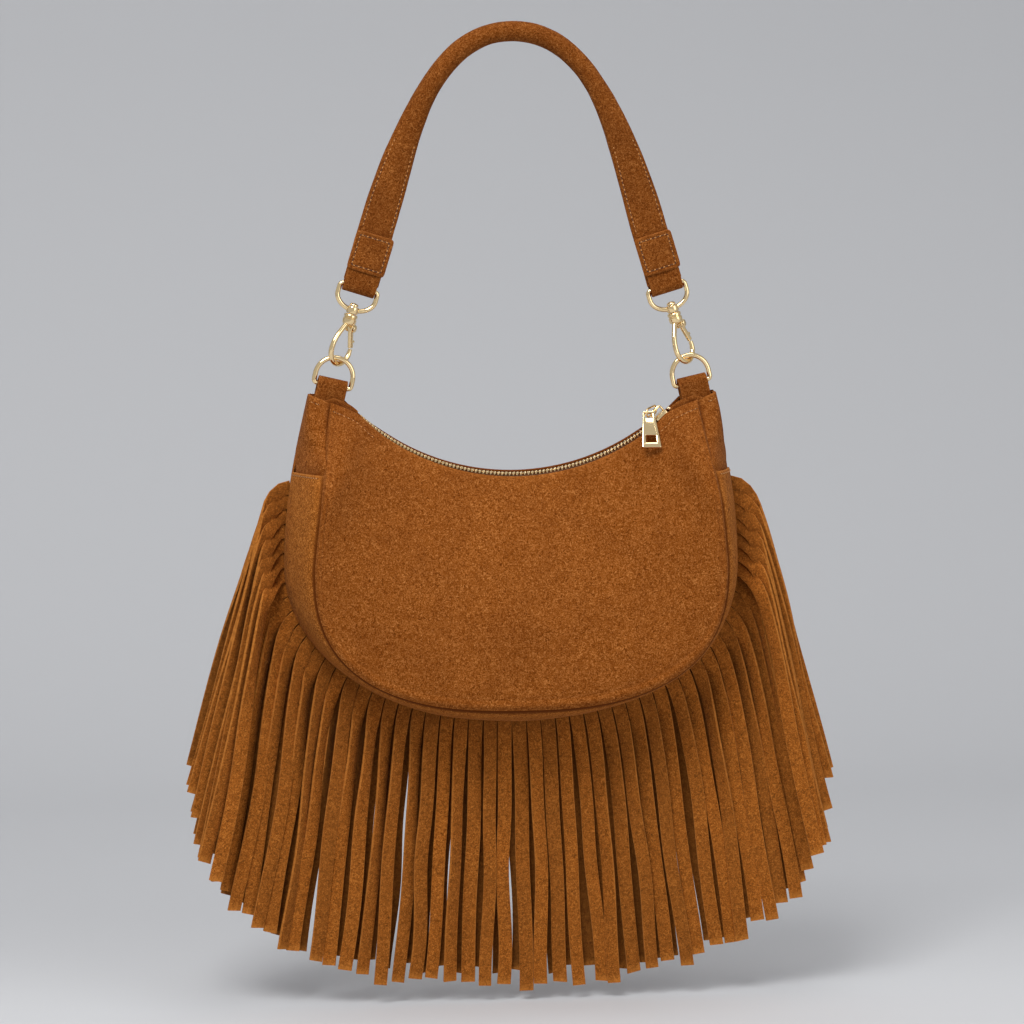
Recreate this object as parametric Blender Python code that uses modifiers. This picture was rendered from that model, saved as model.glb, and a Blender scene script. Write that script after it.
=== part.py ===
"""Half-moon suede shoulder bag with two rows of cut fringe, hung from the top of its handle.

Metres, +Z up. The origin is the hang point under the top of the handle, -Y is the front of
the bag, and the plane Y = 0 holds the handle, the rings and the middle of the zip.
"""
import math

import bmesh
import bpy
from mathutils import Matrix, Vector
from mathutils.geometry import interpolate_bezier

MM = 0.001
SIDES = (("left", -1), ("right", 1))

# Clearance between pieces that touch
GAP = 0.3 * MM

# Handle
HANDLE_ROUND = 12.4 * MM
HANDLE_STRAP_WIDTH = 22.0 * MM
HANDLE_STRAP_THICKNESS = 4.3 * MM
HANDLE_FOLD_X = 96.5 * MM
HANDLE_FOLD_Z = -154.0 * MM
HANDLE_TOP_REACH = 55.0 * MM
HANDLE_LEG_REACH = 80.0 * MM
HANDLE_END_CLEARANCE = 3.0 * MM
SIDE_TILT = math.radians(17.0)

# Folded straps and patches
STRAP_THICKNESS = 1.8 * MM
STRAP_END_WIDTH = 19.0 * MM
STRAP_END_LENGTH = 33.0 * MM
PATCH_WIDTH = 23.5 * MM
PATCH_HEIGHT = 24.0 * MM
PATCH_THICKNESS = 1.6 * MM
PATCH_RISE = 21.5 * MM

# Swivel loop
LOOP_WIRE = 3.0 * MM
LOOP_WIDTH = 27.0 * MM
LOOP_DROP = 14.5 * MM
LOOP_CORNER = 2.0 * MM
HUB_DIAMETER = 7.5 * MM
HUB_HEIGHT = 4.5 * MM
STEM_DIAMETER = 3.2 * MM
STEM_HEAD_DIAMETER = 5.5 * MM
STEM_HEAD_HEIGHT = 2.0 * MM

# Trigger hook
HOOK_YAW = math.radians(45.0)
HOOK_BAR = 3.4 * MM
HOOK_WIDTH = 21.0 * MM
HOOK_LENGTH = 35.8 * MM
BOSS_DIAMETER = 8.5 * MM
BOSS_HEIGHT = 7.0 * MM
GATE_WIDTH = 3.2 * MM
GATE_THICKNESS = 2.4 * MM
GATE_EYE_RADIUS = 2.0 * MM
GATE_PIVOT_X = 3.2 * MM
GATE_PIVOT_DROP = 10.7 * MM
NOSE_RISE = 2.0 * MM
CHEEK_THICKNESS = 1.5 * MM
RIVET_DIAMETER = 1.6 * MM
RIVET_HEAD_DIAMETER = 2.8 * MM
RIVET_HEAD_HEIGHT = 0.5 * MM
GATE_PIN_DIAMETER = 1.8 * MM
GATE_PIN_REACH = 1.4 * MM

# Ring and its tab
RING_WIRE = 3.1 * MM
RING_RADIUS = 11.6 * MM
RING_BAR_DROP = 5.7 * MM
RING_CORNER = 1.9 * MM
RING_TILT = math.radians(13.0)
TAB_WIDTH = 18.2 * MM
TAB_THICKNESS = 2.1 * MM
TAB_LENGTH = 16.0 * MM
FOLD_EASE = 0.95 * MM

# Bag outline, seen from the front
ZIP_RADIUS = 142.0 * MM
ZIP_BOTTOM_Z = -265.0 * MM
FRONT_ARC_X = 96.0 * MM
BACK_ARC_X = 105.0 * MM
CORNER_X = 126.0 * MM
CORNER_Z = -215.3 * MM
WIDEST_Z = -320.0 * MM
FRONT_SEAM_TOP_X = 113.5 * MM
FRONT_SEAM_HALF_WIDTH = 128.5 * MM
FRONT_SEAM_DEPTH = 90.0 * MM
FRONT_SEAM_POWER = 2.6
FRONT_SEAM_ROUNDING = 0.35
BACK_SEAM_HALF_WIDTH = 141.0 * MM
BACK_SEAM_DEPTH = 99.0 * MM
BACK_SEAM_POWER = 2.05
BACK_SEAM_ROUNDING = 1.0
SIDE_SEAM_Z = -263.0 * MM
SIDE_SEAM_GAP = 1.0 * MM

# Bag depth
PANEL_THICKNESS = 1.8 * MM
ZIP_HALF_OPENING = 4.9 * MM
TAB_POCKET_EASE = 2.9 * MM
SEAM_EASE = 0.7 * MM
SIDE_EASE = 1.8 * MM
FRONT_DEPTH = 41.2 * MM
BACK_DEPTH = 5.3 * MM
FULL_DEPTH_Z = -288.0 * MM
FRONT_SWELL = 3.0 * MM
BACK_SWELL = 6.0 * MM
FALL_POWER = 1.5
SIDE_SQUARENESS = 5.0

# Zip
TAPE_THICKNESS = 0.9 * MM
TAPE_DROP = 2.0 * MM
CHAIN_GAP = 1.1 * MM
TEETH_PER_ROW = 40
TOOTH_ROW_WIDTH = 3.0 * MM
TOOTH_RAIL_HEIGHT = 0.9 * MM
TOOTH_HEIGHT = 2.1 * MM
STOP_LENGTH = 2.4 * MM
STOP_HEIGHT = 2.4 * MM
ZIP_END_THICKNESS = 2.0 * MM
ZIP_END_LENGTH = 6.2 * MM

# Slider and pull
SLIDER_REST = 0.9 * MM
SLIDER_LENGTH = 9.6 * MM
SLIDER_PLATE = 1.1 * MM
SLIDER_FLANGE = 0.7 * MM
SLIDER_POST_LENGTH = 3.0 * MM
BAIL_WIRE = 1.4 * MM
BAIL_HEIGHT = 3.7 * MM
BAIL_SPAN = 7.8 * MM
LINK_WIRE = 1.3 * MM
LINK_INNER_RADIUS = 1.9 * MM
LINK_STRAIGHT = 9.2 * MM
LINK_EASE = 0.8 * MM
LINK_YAW = math.radians(55.0)
LINK_DIP = math.radians(9.0)
PULL_LENGTH = 25.0 * MM
PULL_TOP_WIDTH = 7.0 * MM
PULL_BOTTOM_WIDTH = 12.0 * MM
PULL_THICKNESS = 1.6 * MM
PULL_BAR = 1.6 * MM
PULL_SLOT_WIDTH = 4.8 * MM
PULL_SLOT_HEIGHT = 3.4 * MM
PULL_WINDOW_WIDTH = 6.8 * MM
PULL_WINDOW_HEIGHT = 5.0 * MM
PULL_WINDOW_RISE = 3.4 * MM
PULL_LEAN = math.radians(30.0)

# Fringe
STRANDS = 54
STRAND_FILL = 0.9
FRINGE_THICKNESS = 1.6 * MM
FRINGE_START_Z = -268.0 * MM
FRINGE_HEADER = 6.0 * MM
FRINGE_RIM_EASE = 0.7 * MM
FRINGE_FLARE = 58.0 * MM
FRINGE_END_Z = -455.0 * MM
FRINGE_HALF_WIDTH = 199.0 * MM
FRINGE_DEPTH = 130.0 * MM
FRINGE_POWER = 2.3
FRINGE_SIDE_STRANDS = 7
FRINGE_TURN = 0.1
FRINGE_LEVEL_GAP = 0.5 * MM
REAR_FRINGE_RISE = 16.0 * MM

# Mesh fineness
CURVE_SAMPLES = 400
WIRE_RESOLUTION = 1


# Scene

def clear_objects():
    """Remove every object in the open file."""
    for old in list(bpy.data.objects):
        bpy.data.objects.remove(old, do_unlink=True)


def make_collection(name):
    """Return a new collection linked to the scene."""
    group = bpy.data.collections.new(name)
    bpy.context.scene.collection.children.link(group)
    return group


def make_material(name, colour, roughness, metallic):
    """Return a plain material."""
    material = bpy.data.materials.new(name)
    material.use_nodes = True
    shader = material.node_tree.nodes["Principled BSDF"]
    shader.inputs["Base Color"].default_value = (*colour, 1.0)
    shader.inputs["Roughness"].default_value = roughness
    shader.inputs["Metallic"].default_value = metallic
    return material


clear_objects()
BAG = make_collection("fringed_suede_bag")
CUTTERS = make_collection("cutters")
SUEDE = make_material("suede", (0.30, 0.10, 0.022), 0.95, 0.0)
HANDLE_SUEDE = make_material("handle_suede", (0.22, 0.072, 0.018), 0.95, 0.0)
FRINGE_SUEDE = make_material("fringe_suede", (0.28, 0.085, 0.016), 0.95, 0.0)
TAPE_CLOTH = make_material("tape_cloth", (0.16, 0.055, 0.016), 0.9, 0.0)
GOLD = make_material("pale_gold", (0.85, 0.62, 0.30), 0.18, 1.0)


# Objects and meshes

def add_object(name, mesh, material, place=None):
    """Add a named piece to the bag's collection."""
    piece = bpy.data.objects.new(name, mesh)
    BAG.objects.link(piece)
    mesh.materials.clear()
    mesh.materials.append(material)
    if place is not None:
        piece.matrix_world = place
    return piece


def mesh_from(bm, name):
    """Turn a bmesh into a mesh with its faces pointing outwards."""
    bmesh.ops.recalc_face_normals(bm, faces=bm.faces)
    mesh = bpy.data.meshes.new(name)
    bm.to_mesh(mesh)
    bm.free()
    return mesh


def smooth(piece, angle=math.radians(40.0)):
    """Shade a round piece smooth, apart from its sharp edges."""
    piece.data.shade_smooth()
    piece.data.set_sharp_from_angle(angle=angle)


def add_solidify(piece, thickness):
    """Give an open surface its thickness, half on each side."""
    modifier = piece.modifiers.new("thickness", "SOLIDIFY")
    modifier.thickness = thickness
    modifier.offset = 0.0
    modifier.use_even_offset = False
    return modifier


def sheet_mesh(name, rows):
    """Skin a grid of points, with triangles where neighbours coincide."""
    bm = bmesh.new()
    grid = [[bm.verts.new(point) for point in row] for row in rows]
    for upper, lower in zip(grid, grid[1:]):
        for k in range(len(upper) - 1):
            bm.faces.new((upper[k], upper[k + 1], lower[k + 1], lower[k]))
    bmesh.ops.remove_doubles(bm, verts=bm.verts, dist=0.01 * MM)
    mesh = bpy.data.meshes.new(name)
    bm.to_mesh(mesh)
    bm.free()
    return mesh


def box_bmesh(size, centre=(0, 0, 0), rotation=None):
    """Return a bmesh box of a given size."""
    bm = bmesh.new()
    matrix = Matrix.Translation(centre)
    if rotation is not None:
        matrix = matrix @ rotation
    bmesh.ops.create_cube(bm, size=1.0, matrix=matrix @ Matrix.Diagonal((*size, 1.0)))
    return bm


def cylinder_bmesh(radius, height, centre=(0, 0, 0), rotation=None, sides=20):
    """Return a bmesh cylinder, along Z unless it is rotated."""
    bm = bmesh.new()
    matrix = Matrix.Translation(centre)
    if rotation is not None:
        matrix = matrix @ rotation
    bmesh.ops.create_cone(bm, cap_ends=True, segments=sides, radius1=radius, radius2=radius,
                          depth=height, matrix=matrix)
    return bm


def wire_mesh(name, points, radius, closed=False, resolution=WIRE_RESOLUTION):
    """Return the closed mesh of a round wire along points."""
    curve = bpy.data.curves.new(name, "CURVE")
    curve.dimensions = "3D"
    curve.bevel_depth = radius
    curve.bevel_resolution = resolution
    curve.use_fill_caps = not closed
    spline = curve.splines.new("POLY")
    spline.points.add(len(points) - 1)
    for control, point in zip(spline.points, points):
        control.co = (*point, 1.0)
    spline.use_cyclic_u = closed
    holder = bpy.data.objects.new(name, curve)
    CUTTERS.objects.link(holder)
    bpy.context.view_layer.update()
    evaluated = holder.evaluated_get(bpy.context.evaluated_depsgraph_get())
    mesh = bpy.data.meshes.new_from_object(evaluated)
    bpy.data.objects.remove(holder)
    bpy.data.curves.remove(curve)
    bm = bmesh.new()
    bm.from_mesh(mesh)
    bmesh.ops.remove_doubles(bm, verts=bm.verts, dist=0.01 * MM)
    bmesh.ops.recalc_face_normals(bm, faces=bm.faces)
    bm.to_mesh(mesh)
    bm.free()
    return mesh


def combine(piece, mesh, operation, label):
    """Join or cut a piece by another closed mesh, given in the piece's own frame."""
    cutter = bpy.data.objects.new(label, mesh)
    CUTTERS.objects.link(cutter)
    cutter.matrix_world = piece.matrix_world
    cutter.hide_render = True
    cutter.display_type = "WIRE"
    modifier = piece.modifiers.new(label, "BOOLEAN")
    modifier.operation = operation
    modifier.object = cutter
    modifier.solver = "EXACT"


# Curves in the front view

def smoothstep(value, low, high):
    """Rise smoothly from 0 at low to 1 at high."""
    share = min(max((value - low) / (high - low), 0.0), 1.0)
    return share * share * (3.0 - 2.0 * share)


def blend(a, b, share):
    """Return the value a share of the way from a to b."""
    return a + (b - a) * share


class Path:
    """A line through points, read by its length."""

    def __init__(self, points):
        self.points = [Vector(point) for point in points]
        self.lengths = [0.0]
        for a, b in zip(self.points, self.points[1:]):
            self.lengths.append(self.lengths[-1] + (b - a).length)
        self.length = self.lengths[-1]

    def at(self, distance):
        """Return the point at a distance along the line."""
        distance = min(max(distance, 0.0), self.length)
        low, high = 0, len(self.lengths) - 1
        while high - low > 1:
            middle = (low + high) // 2
            if self.lengths[middle] <= distance:
                low = middle
            else:
                high = middle
        span = self.lengths[high] - self.lengths[low]
        share = (distance - self.lengths[low]) / span if span else 0.0
        return self.points[low].lerp(self.points[high], share)

    def tangent(self, distance):
        """Return the direction of the line at a distance along it."""
        step = self.length / CURVE_SAMPLES
        return (self.at(distance + step) - self.at(distance - step)).normalized()

    def distance_of_height(self, height):
        """Return how far along a falling line its height reaches a value."""
        for k, point in enumerate(self.points[1:], 1):
            if point.y <= height:
                above = self.points[k - 1].y
                share = (above - height) / (above - point.y) if above > point.y else 1.0
                return blend(self.lengths[k - 1], self.lengths[k], share)
        return self.length


def zip_centre_z():
    """Return the height of the centre of the zip's arc."""
    return ZIP_BOTTOM_Z + ZIP_RADIUS


def arc_z(x):
    """Return the height of the zip's arc at x."""
    return zip_centre_z() - math.sqrt(ZIP_RADIUS ** 2 - x ** 2)


def front_edge_z(x):
    """Return the height of the front top edge at x."""
    reach = abs(x)
    if reach <= FRONT_ARC_X:
        return arc_z(reach)
    share = (reach - FRONT_ARC_X) / (CORNER_X - FRONT_ARC_X)
    return blend(arc_z(FRONT_ARC_X), CORNER_Z, share)


def back_edge_z(x):
    """Return the height of the back top edge at x."""
    reach = abs(x)
    if reach <= BACK_ARC_X:
        return arc_z(reach)
    share = (reach - BACK_ARC_X) / (CORNER_X - BACK_ARC_X)
    return blend(arc_z(BACK_ARC_X), CORNER_Z, math.sin(share * math.pi / 2))


def half_seam(top_x, top_z, half_width, depth, power, rounding):
    """Return the right half of a seam outline, from its top corner down to the middle."""
    points = []
    for k in range(CURVE_SAMPLES):
        share = k / CURVE_SAMPLES
        spread = blend(share, math.sin(share * math.pi / 2), rounding)
        points.append((blend(top_x, half_width, spread), blend(top_z, WIDEST_Z, share)))
    for k in range(CURVE_SAMPLES + 1):
        angle = k / CURVE_SAMPLES * math.pi / 2
        x = half_width * max(math.cos(angle), 0.0) ** (2 / power)
        z = WIDEST_Z - depth * math.sin(angle) ** (2 / power)
        points.append((x, z))
    return Path(points)


def whole_seam(half):
    """Return a seam from the left corner, round the bottom, to the right corner."""
    left = [Vector((-point.x, point.y)) for point in half.points]
    return Path(left + list(reversed(half.points))[1:])


def front_half():
    """Return the right half of the front panel's seam."""
    return half_seam(FRONT_SEAM_TOP_X, front_edge_z(FRONT_SEAM_TOP_X), FRONT_SEAM_HALF_WIDTH,
                     FRONT_SEAM_DEPTH, FRONT_SEAM_POWER, FRONT_SEAM_ROUNDING)


def back_half():
    """Return the right half of the back panel's seam."""
    return half_seam(CORNER_X, CORNER_Z, BACK_SEAM_HALF_WIDTH, BACK_SEAM_DEPTH,
                     BACK_SEAM_POWER, BACK_SEAM_ROUNDING)


# Depth of the bag

def fringe_stack():
    """Return the depth that the two fringe headers take in the back seam."""
    return SEAM_EASE + 2 * FRINGE_THICKNESS + 2 * GAP


def panel_face_y():
    """Return the distance from Y = 0 of the middle of either panel at the zip."""
    return ZIP_HALF_OPENING + PANEL_THICKNESS / 2


def depth_share(z):
    """Return how much of the full depth the bag has at a height."""
    return smoothstep(-z, -CORNER_Z, -FULL_DEPTH_Z)


def front_seam_y(z):
    """Return Y of the middle of the front panel at its seam."""
    return blend(-panel_face_y() - TAB_POCKET_EASE, -FRONT_DEPTH, depth_share(z))


def back_seam_y(z):
    """Return Y of the rear edge of the gusset, which the fringe headers lie against."""
    at_corner = panel_face_y() - PANEL_THICKNESS / 2 - fringe_stack()
    return blend(at_corner, BACK_DEPTH, depth_share(z))


def back_panel_y(z):
    """Return Y of the middle of the back panel at its seam."""
    return back_seam_y(z) + fringe_stack() + PANEL_THICKNESS / 2


# Frames of the side fittings

def side_frame(side):
    """Return the frame of one side's fittings at the bar of its swivel loop."""
    turn = Matrix.Rotation(-side * SIDE_TILT, 4, "Y")
    fold = Vector((side * HANDLE_FOLD_X, 0.0, HANDLE_FOLD_Z))
    bar = fold + turn @ Vector((0.0, 0.0, strap_inner_gap() + STRAP_THICKNESS))
    return Matrix.Translation(bar) @ turn


def strap_inner_gap():
    """Return half the space inside the folded strap end."""
    return max(HANDLE_STRAP_THICKNESS / 2 + GAP, LOOP_WIRE / 2 + FOLD_EASE)


def hub_frame(side):
    """Return the frame at the middle of the swivel loop's hub."""
    return side_frame(side) @ Matrix.Translation((0.0, 0.0, -LOOP_DROP))


def hook_frame(side):
    """Return the frame of a hook, turned about its stem."""
    return hub_frame(side) @ Matrix.Rotation(HOOK_YAW, 4, "Z")


def ring_top_drop():
    """Return how far the top of the ring's wire centre lies below the hub."""
    return HOOK_LENGTH - HOOK_BAR - GAP - RING_WIRE / 2


def ring_frame(side):
    """Return the frame at the centre of the ring's round part."""
    top = hub_frame(side) @ Vector((0.0, 0.0, -ring_top_drop()))
    turn = Matrix.Rotation(-side * RING_TILT, 4, "Y")
    return Matrix.Translation(top) @ turn @ Matrix.Translation((0.0, 0.0, -RING_RADIUS))


def ring_bar_frame(side):
    """Return the frame at the middle of the ring's straight bar."""
    return ring_frame(side) @ Matrix.Translation((0.0, 0.0, -RING_BAR_DROP))


# Handle

def handle_path():
    """Return the middle line of the handle from its left leg to its right leg."""
    centre_z = HANDLE_ROUND / 2
    frame = side_frame(1)
    end = frame @ Vector((0.0, 0.0, HANDLE_END_CLEARANCE))
    reach = frame @ Vector((0.0, 0.0, HANDLE_END_CLEARANCE + HANDLE_LEG_REACH))
    half = interpolate_bezier(Vector((0.0, 0.0, centre_z)),
                              Vector((HANDLE_TOP_REACH, 0.0, centre_z)),
                              reach, end, CURVE_SAMPLES)
    left = [Vector((-point.x, 0.0, point.z)) for point in reversed(half)]
    return Path(left + half[1:])


def build_handle():
    """Loft the handle from flat straps at its legs to a round roll at its top."""
    path = handle_path()
    stations = 26
    points_round = 12
    bm = bmesh.new()
    loops = []
    for k in range(stations + 1):
        distance = path.length * k / stations
        centre = path.at(distance)
        along = path.tangent(distance)
        across = Vector((along.z, 0.0, -along.x))
        from_end = min(k, stations - k) / stations * 2
        roundness = smoothstep(from_end, 0.22, 0.72)
        half_width = blend(HANDLE_STRAP_WIDTH, HANDLE_ROUND, roundness) / 2
        half_thickness = blend(HANDLE_STRAP_THICKNESS, HANDLE_ROUND, roundness) / 2
        power = blend(4.0, 2.0, roundness)
        loop = []
        for c in range(points_round):
            angle = 2 * math.pi * (c + 0.5) / points_round
            u = math.copysign(abs(math.cos(angle)) ** (2 / power), math.cos(angle))
            v = math.copysign(abs(math.sin(angle)) ** (2 / power), math.sin(angle))
            point = centre + across * (u * half_width) + Vector((0.0, v * half_thickness, 0.0))
            loop.append(bm.verts.new(point))
        loops.append(loop)
    for a, b in zip(loops, loops[1:]):
        for c in range(points_round):
            d = (c + 1) % points_round
            bm.faces.new((a[c], a[d], b[d], b[c]))
    bm.faces.new(loops[0])
    bm.faces.new(list(reversed(loops[-1])))
    smooth(add_object("handle", mesh_from(bm, "handle"), HANDLE_SUEDE))


def fold_rows(inner_gap, thickness, leg, width, upward):
    """Return the rows of a strap folded once round a bar, with legs that go one way."""
    radius = inner_gap + thickness / 2
    sign = 1.0 if upward else -1.0
    profile = [(-radius, leg)]
    steps = 8
    for k in range(steps + 1):
        angle = math.pi * k / steps
        profile.append((-radius * math.cos(angle), -radius * math.sin(angle)))
    profile.append((radius, leg))
    rows = []
    for y, z in profile:
        rows.append([Vector((u * width / 2, y, sign * z)) for u in (-1.0, 1.0)])
    return rows


def build_strap_end(name, side):
    """Fold a strap round the bar of the swivel loop."""
    rows = fold_rows(strap_inner_gap(), STRAP_THICKNESS, STRAP_END_LENGTH, STRAP_END_WIDTH, True)
    mesh = sheet_mesh(name, rows)
    add_solidify(add_object(name, mesh, HANDLE_SUEDE, side_frame(side)), STRAP_THICKNESS)


def build_end_patch(name, side):
    """Lay a square patch on the front of the strap end."""
    y = -(strap_inner_gap() + STRAP_THICKNESS + GAP + PATCH_THICKNESS / 2)
    bm = box_bmesh((PATCH_WIDTH, PATCH_THICKNESS, PATCH_HEIGHT), (0.0, y, PATCH_RISE))
    piece = add_object(name, mesh_from(bm, name), HANDLE_SUEDE, side_frame(side))
    bevel = piece.modifiers.new("edges", "BEVEL")
    bevel.width = PATCH_THICKNESS / 4
    bevel.segments = 1


# Swivel loops

def arc_points(centre, radius_x, radius_z, start, end, steps):
    """Return points of an arc in the XZ plane, with both its ends."""
    points = []
    for k in range(steps + 1):
        angle = blend(start, end, k / steps)
        x = centre[0] + radius_x * math.cos(angle)
        z = centre[1] + radius_z * math.sin(angle)
        points.append(Vector((x, 0.0, z)))
    return points


def build_swivel_loop(name, side):
    """Bend the loop's wire, with a straight bar on top, and bore its hub for the stem."""
    half = (LOOP_WIDTH - LOOP_WIRE) / 2
    corner_z = -LOOP_CORNER
    low_z = corner_z - (LOOP_DROP - LOOP_CORNER) * 0.3
    bottom = arc_points((0.0, low_z), half, LOOP_DROP + low_z, 0.0, -math.pi, 14)
    left_corner = arc_points((-half + LOOP_CORNER, corner_z), LOOP_CORNER, LOOP_CORNER,
                             math.pi, math.pi / 2, 4)
    right_corner = arc_points((half - LOOP_CORNER, corner_z), LOOP_CORNER, LOOP_CORNER,
                              math.pi / 2, 0.0, 4)
    wire = wire_mesh(name, bottom + left_corner + right_corner, LOOP_WIRE / 2, closed=True)
    piece = add_object(name, wire, GOLD, side_frame(side))
    hub_centre = (0.0, 0.0, -LOOP_DROP)
    hub = cylinder_bmesh(HUB_DIAMETER / 2, HUB_HEIGHT, hub_centre)
    combine(piece, mesh_from(hub, name + "_hub"), "UNION", name + "_hub")
    bore = cylinder_bmesh(STEM_DIAMETER / 2 + GAP, HUB_HEIGHT * 2, hub_centre)
    combine(piece, mesh_from(bore, name + "_bore"), "DIFFERENCE", name + "_bore")
    smooth(piece)


# Trigger hooks

def turned_mesh(name, profile, sides):
    """Turn a profile of radius and height, given from the top down, about Z."""
    bm = bmesh.new()
    for radius, height in profile:
        bm.verts.new((radius, 0.0, height))
    bm.verts.ensure_lookup_table()
    for k in range(len(profile) - 1):
        bm.edges.new((bm.verts[k], bm.verts[k + 1]))
    bmesh.ops.spin(bm, geom=bm.verts[:] + bm.edges[:], cent=(0, 0, 0), axis=(0, 0, 1),
                   angle=2 * math.pi, steps=sides, use_merge=True)
    bmesh.ops.remove_doubles(bm, verts=bm.verts, dist=0.01 * MM)
    return mesh_from(bm, name)


def hook_bar_points():
    """Return the middle line of the hook's bar, from the boss round to the nose."""
    half = (HOOK_WIDTH - HOOK_BAR) / 2
    bend_z = -HOOK_LENGTH + HOOK_BAR / 2 + half
    boss_end = -HUB_HEIGHT / 2 - GAP - BOSS_HEIGHT * 0.8
    shoulder = interpolate_bezier(Vector((-BOSS_DIAMETER * 0.18, 0.0, boss_end)),
                                  Vector((-half * 0.6, 0.0, boss_end - half * 0.7)),
                                  Vector((-half, 0.0, bend_z + half * 0.8)),
                                  Vector((-half, 0.0, bend_z)), 9)
    bend = arc_points((0.0, bend_z), half, half, math.pi, 2 * math.pi, 12)
    return shoulder + bend[1:] + [Vector((half, 0.0, bend_z + NOSE_RISE))]


def nose_point():
    """Return the middle of the nose's end."""
    return hook_bar_points()[-1]


def gate_pivot():
    """Return the pivot of the gate in the hook's frame."""
    return Vector((GATE_PIVOT_X, 0.0, -GATE_PIVOT_DROP))


def build_hook(name, side):
    """Make the hook's boss, stem and bar in one, with a fork for the gate."""
    boss_top = -HUB_HEIGHT / 2 - GAP
    head_low = HUB_HEIGHT / 2 + GAP
    profile = (
        (0.0, head_low + STEM_HEAD_HEIGHT),
        (STEM_HEAD_DIAMETER * 0.3, head_low + STEM_HEAD_HEIGHT),
        (STEM_HEAD_DIAMETER / 2, head_low + STEM_HEAD_HEIGHT * 0.5),
        (STEM_HEAD_DIAMETER / 2, head_low),
        (STEM_DIAMETER / 2, head_low),
        (STEM_DIAMETER / 2, boss_top),
        (BOSS_DIAMETER * 0.42, boss_top),
        (BOSS_DIAMETER / 2, boss_top - BOSS_HEIGHT * 0.15),
        (BOSS_DIAMETER / 2, boss_top - BOSS_HEIGHT * 0.75),
        (BOSS_DIAMETER * 0.36, boss_top - BOSS_HEIGHT),
        (0.0, boss_top - BOSS_HEIGHT),
    )
    piece = add_object(name, turned_mesh(name, profile, 14), GOLD, hook_frame(side))
    bar = wire_mesh(name + "_bar", hook_bar_points(), HOOK_BAR / 2)
    combine(piece, bar, "UNION", name + "_bar")
    pivot = gate_pivot()
    across = Matrix.Rotation(math.pi / 2, 4, "X")
    slot_width = GATE_THICKNESS + 2 * GAP
    fork_width = slot_width + 2 * CHEEK_THICKNESS
    fork = cylinder_bmesh(GATE_EYE_RADIUS + GAP * 2, fork_width, pivot, across, 16)
    combine(piece, mesh_from(fork, name + "_fork"), "UNION", name + "_fork")
    slot_reach = BOSS_DIAMETER
    slot_left = pivot.x - GATE_EYE_RADIUS - 2 * GAP
    slot_drop = 2 * (GATE_EYE_RADIUS + 4 * GAP)
    slot = box_bmesh((slot_reach, slot_width, slot_drop),
                     (slot_left + slot_reach / 2, 0.0, pivot.z))
    combine(piece, mesh_from(slot, name + "_slot"), "DIFFERENCE", name + "_slot")
    hole = cylinder_bmesh(RIVET_DIAMETER / 2 + GAP, fork_width * 2, pivot, across, 12)
    combine(piece, mesh_from(hole, name + "_hole"), "DIFFERENCE", name + "_hole")
    smooth(piece)


def build_gate_rivet(name, side):
    """Make the rivet that the gate turns on."""
    length = GATE_THICKNESS + 2 * GAP + 2 * CHEEK_THICKNESS + 2 * GAP
    half = length / 2
    profile = (
        (0.0, half + RIVET_HEAD_HEIGHT),
        (RIVET_HEAD_DIAMETER * 0.35, half + RIVET_HEAD_HEIGHT),
        (RIVET_HEAD_DIAMETER / 2, half),
        (RIVET_DIAMETER / 2, half),
        (RIVET_DIAMETER / 2, -half),
        (RIVET_HEAD_DIAMETER / 2, -half),
        (RIVET_HEAD_DIAMETER * 0.35, -half - RIVET_HEAD_HEIGHT),
        (0.0, -half - RIVET_HEAD_HEIGHT),
    )
    place = hook_frame(side) @ Matrix.Translation(gate_pivot()) @ Matrix.Rotation(
        math.pi / 2, 4, "X")
    mesh = turned_mesh(name, profile, 10)
    smooth(add_object(name, mesh, GOLD, place))


def build_gate(name, side):
    """Make the gate, from its eye on the rivet to its tip at the nose."""
    pivot = gate_pivot()
    nose = nose_point() - pivot
    lean = math.atan2(nose.x, -nose.z)
    seat = (GATE_WIDTH / 2) * math.sin(lean) + GAP
    length = (-nose.z - seat) / math.cos(lean)
    across = Matrix.Rotation(math.pi / 2, 4, "X")
    eye = cylinder_bmesh(GATE_EYE_RADIUS, GATE_THICKNESS, (0, 0, 0), across, 16)
    place = hook_frame(side) @ Matrix.Translation(pivot)
    piece = add_object(name, mesh_from(eye, name), GOLD, place)
    turn = Matrix.Rotation(-lean, 4, "Y")
    middle = turn @ Vector((0.0, 0.0, -length / 2))
    arm = box_bmesh((GATE_WIDTH, GATE_THICKNESS, length), middle, turn)
    bmesh.ops.bevel(arm, geom=[e for e in arm.edges if e.calc_length() > GATE_WIDTH * 1.5],
                    offset=GATE_THICKNESS * 0.25, segments=2, profile=0.5, affect="EDGES",
                    material=-1)
    combine(piece, mesh_from(arm, name + "_arm"), "UNION", name + "_arm")
    pin_reach = GATE_WIDTH / 2 + GATE_PIN_REACH
    pin_at = turn @ Vector((pin_reach / 2, 0.0, -length + GATE_WIDTH))
    pin_turn = turn @ Matrix.Rotation(math.pi / 2, 4, "Y")
    pin = cylinder_bmesh(GATE_PIN_DIAMETER / 2, pin_reach, pin_at, pin_turn, 10)
    combine(piece, mesh_from(pin, name + "_pin"), "UNION", name + "_pin")
    hole = cylinder_bmesh(RIVET_DIAMETER / 2 + GAP, GATE_THICKNESS * 3, (0, 0, 0), across, 12)
    combine(piece, mesh_from(hole, name + "_hole"), "DIFFERENCE", name + "_hole")
    smooth(piece)


# Rings and tabs

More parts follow.
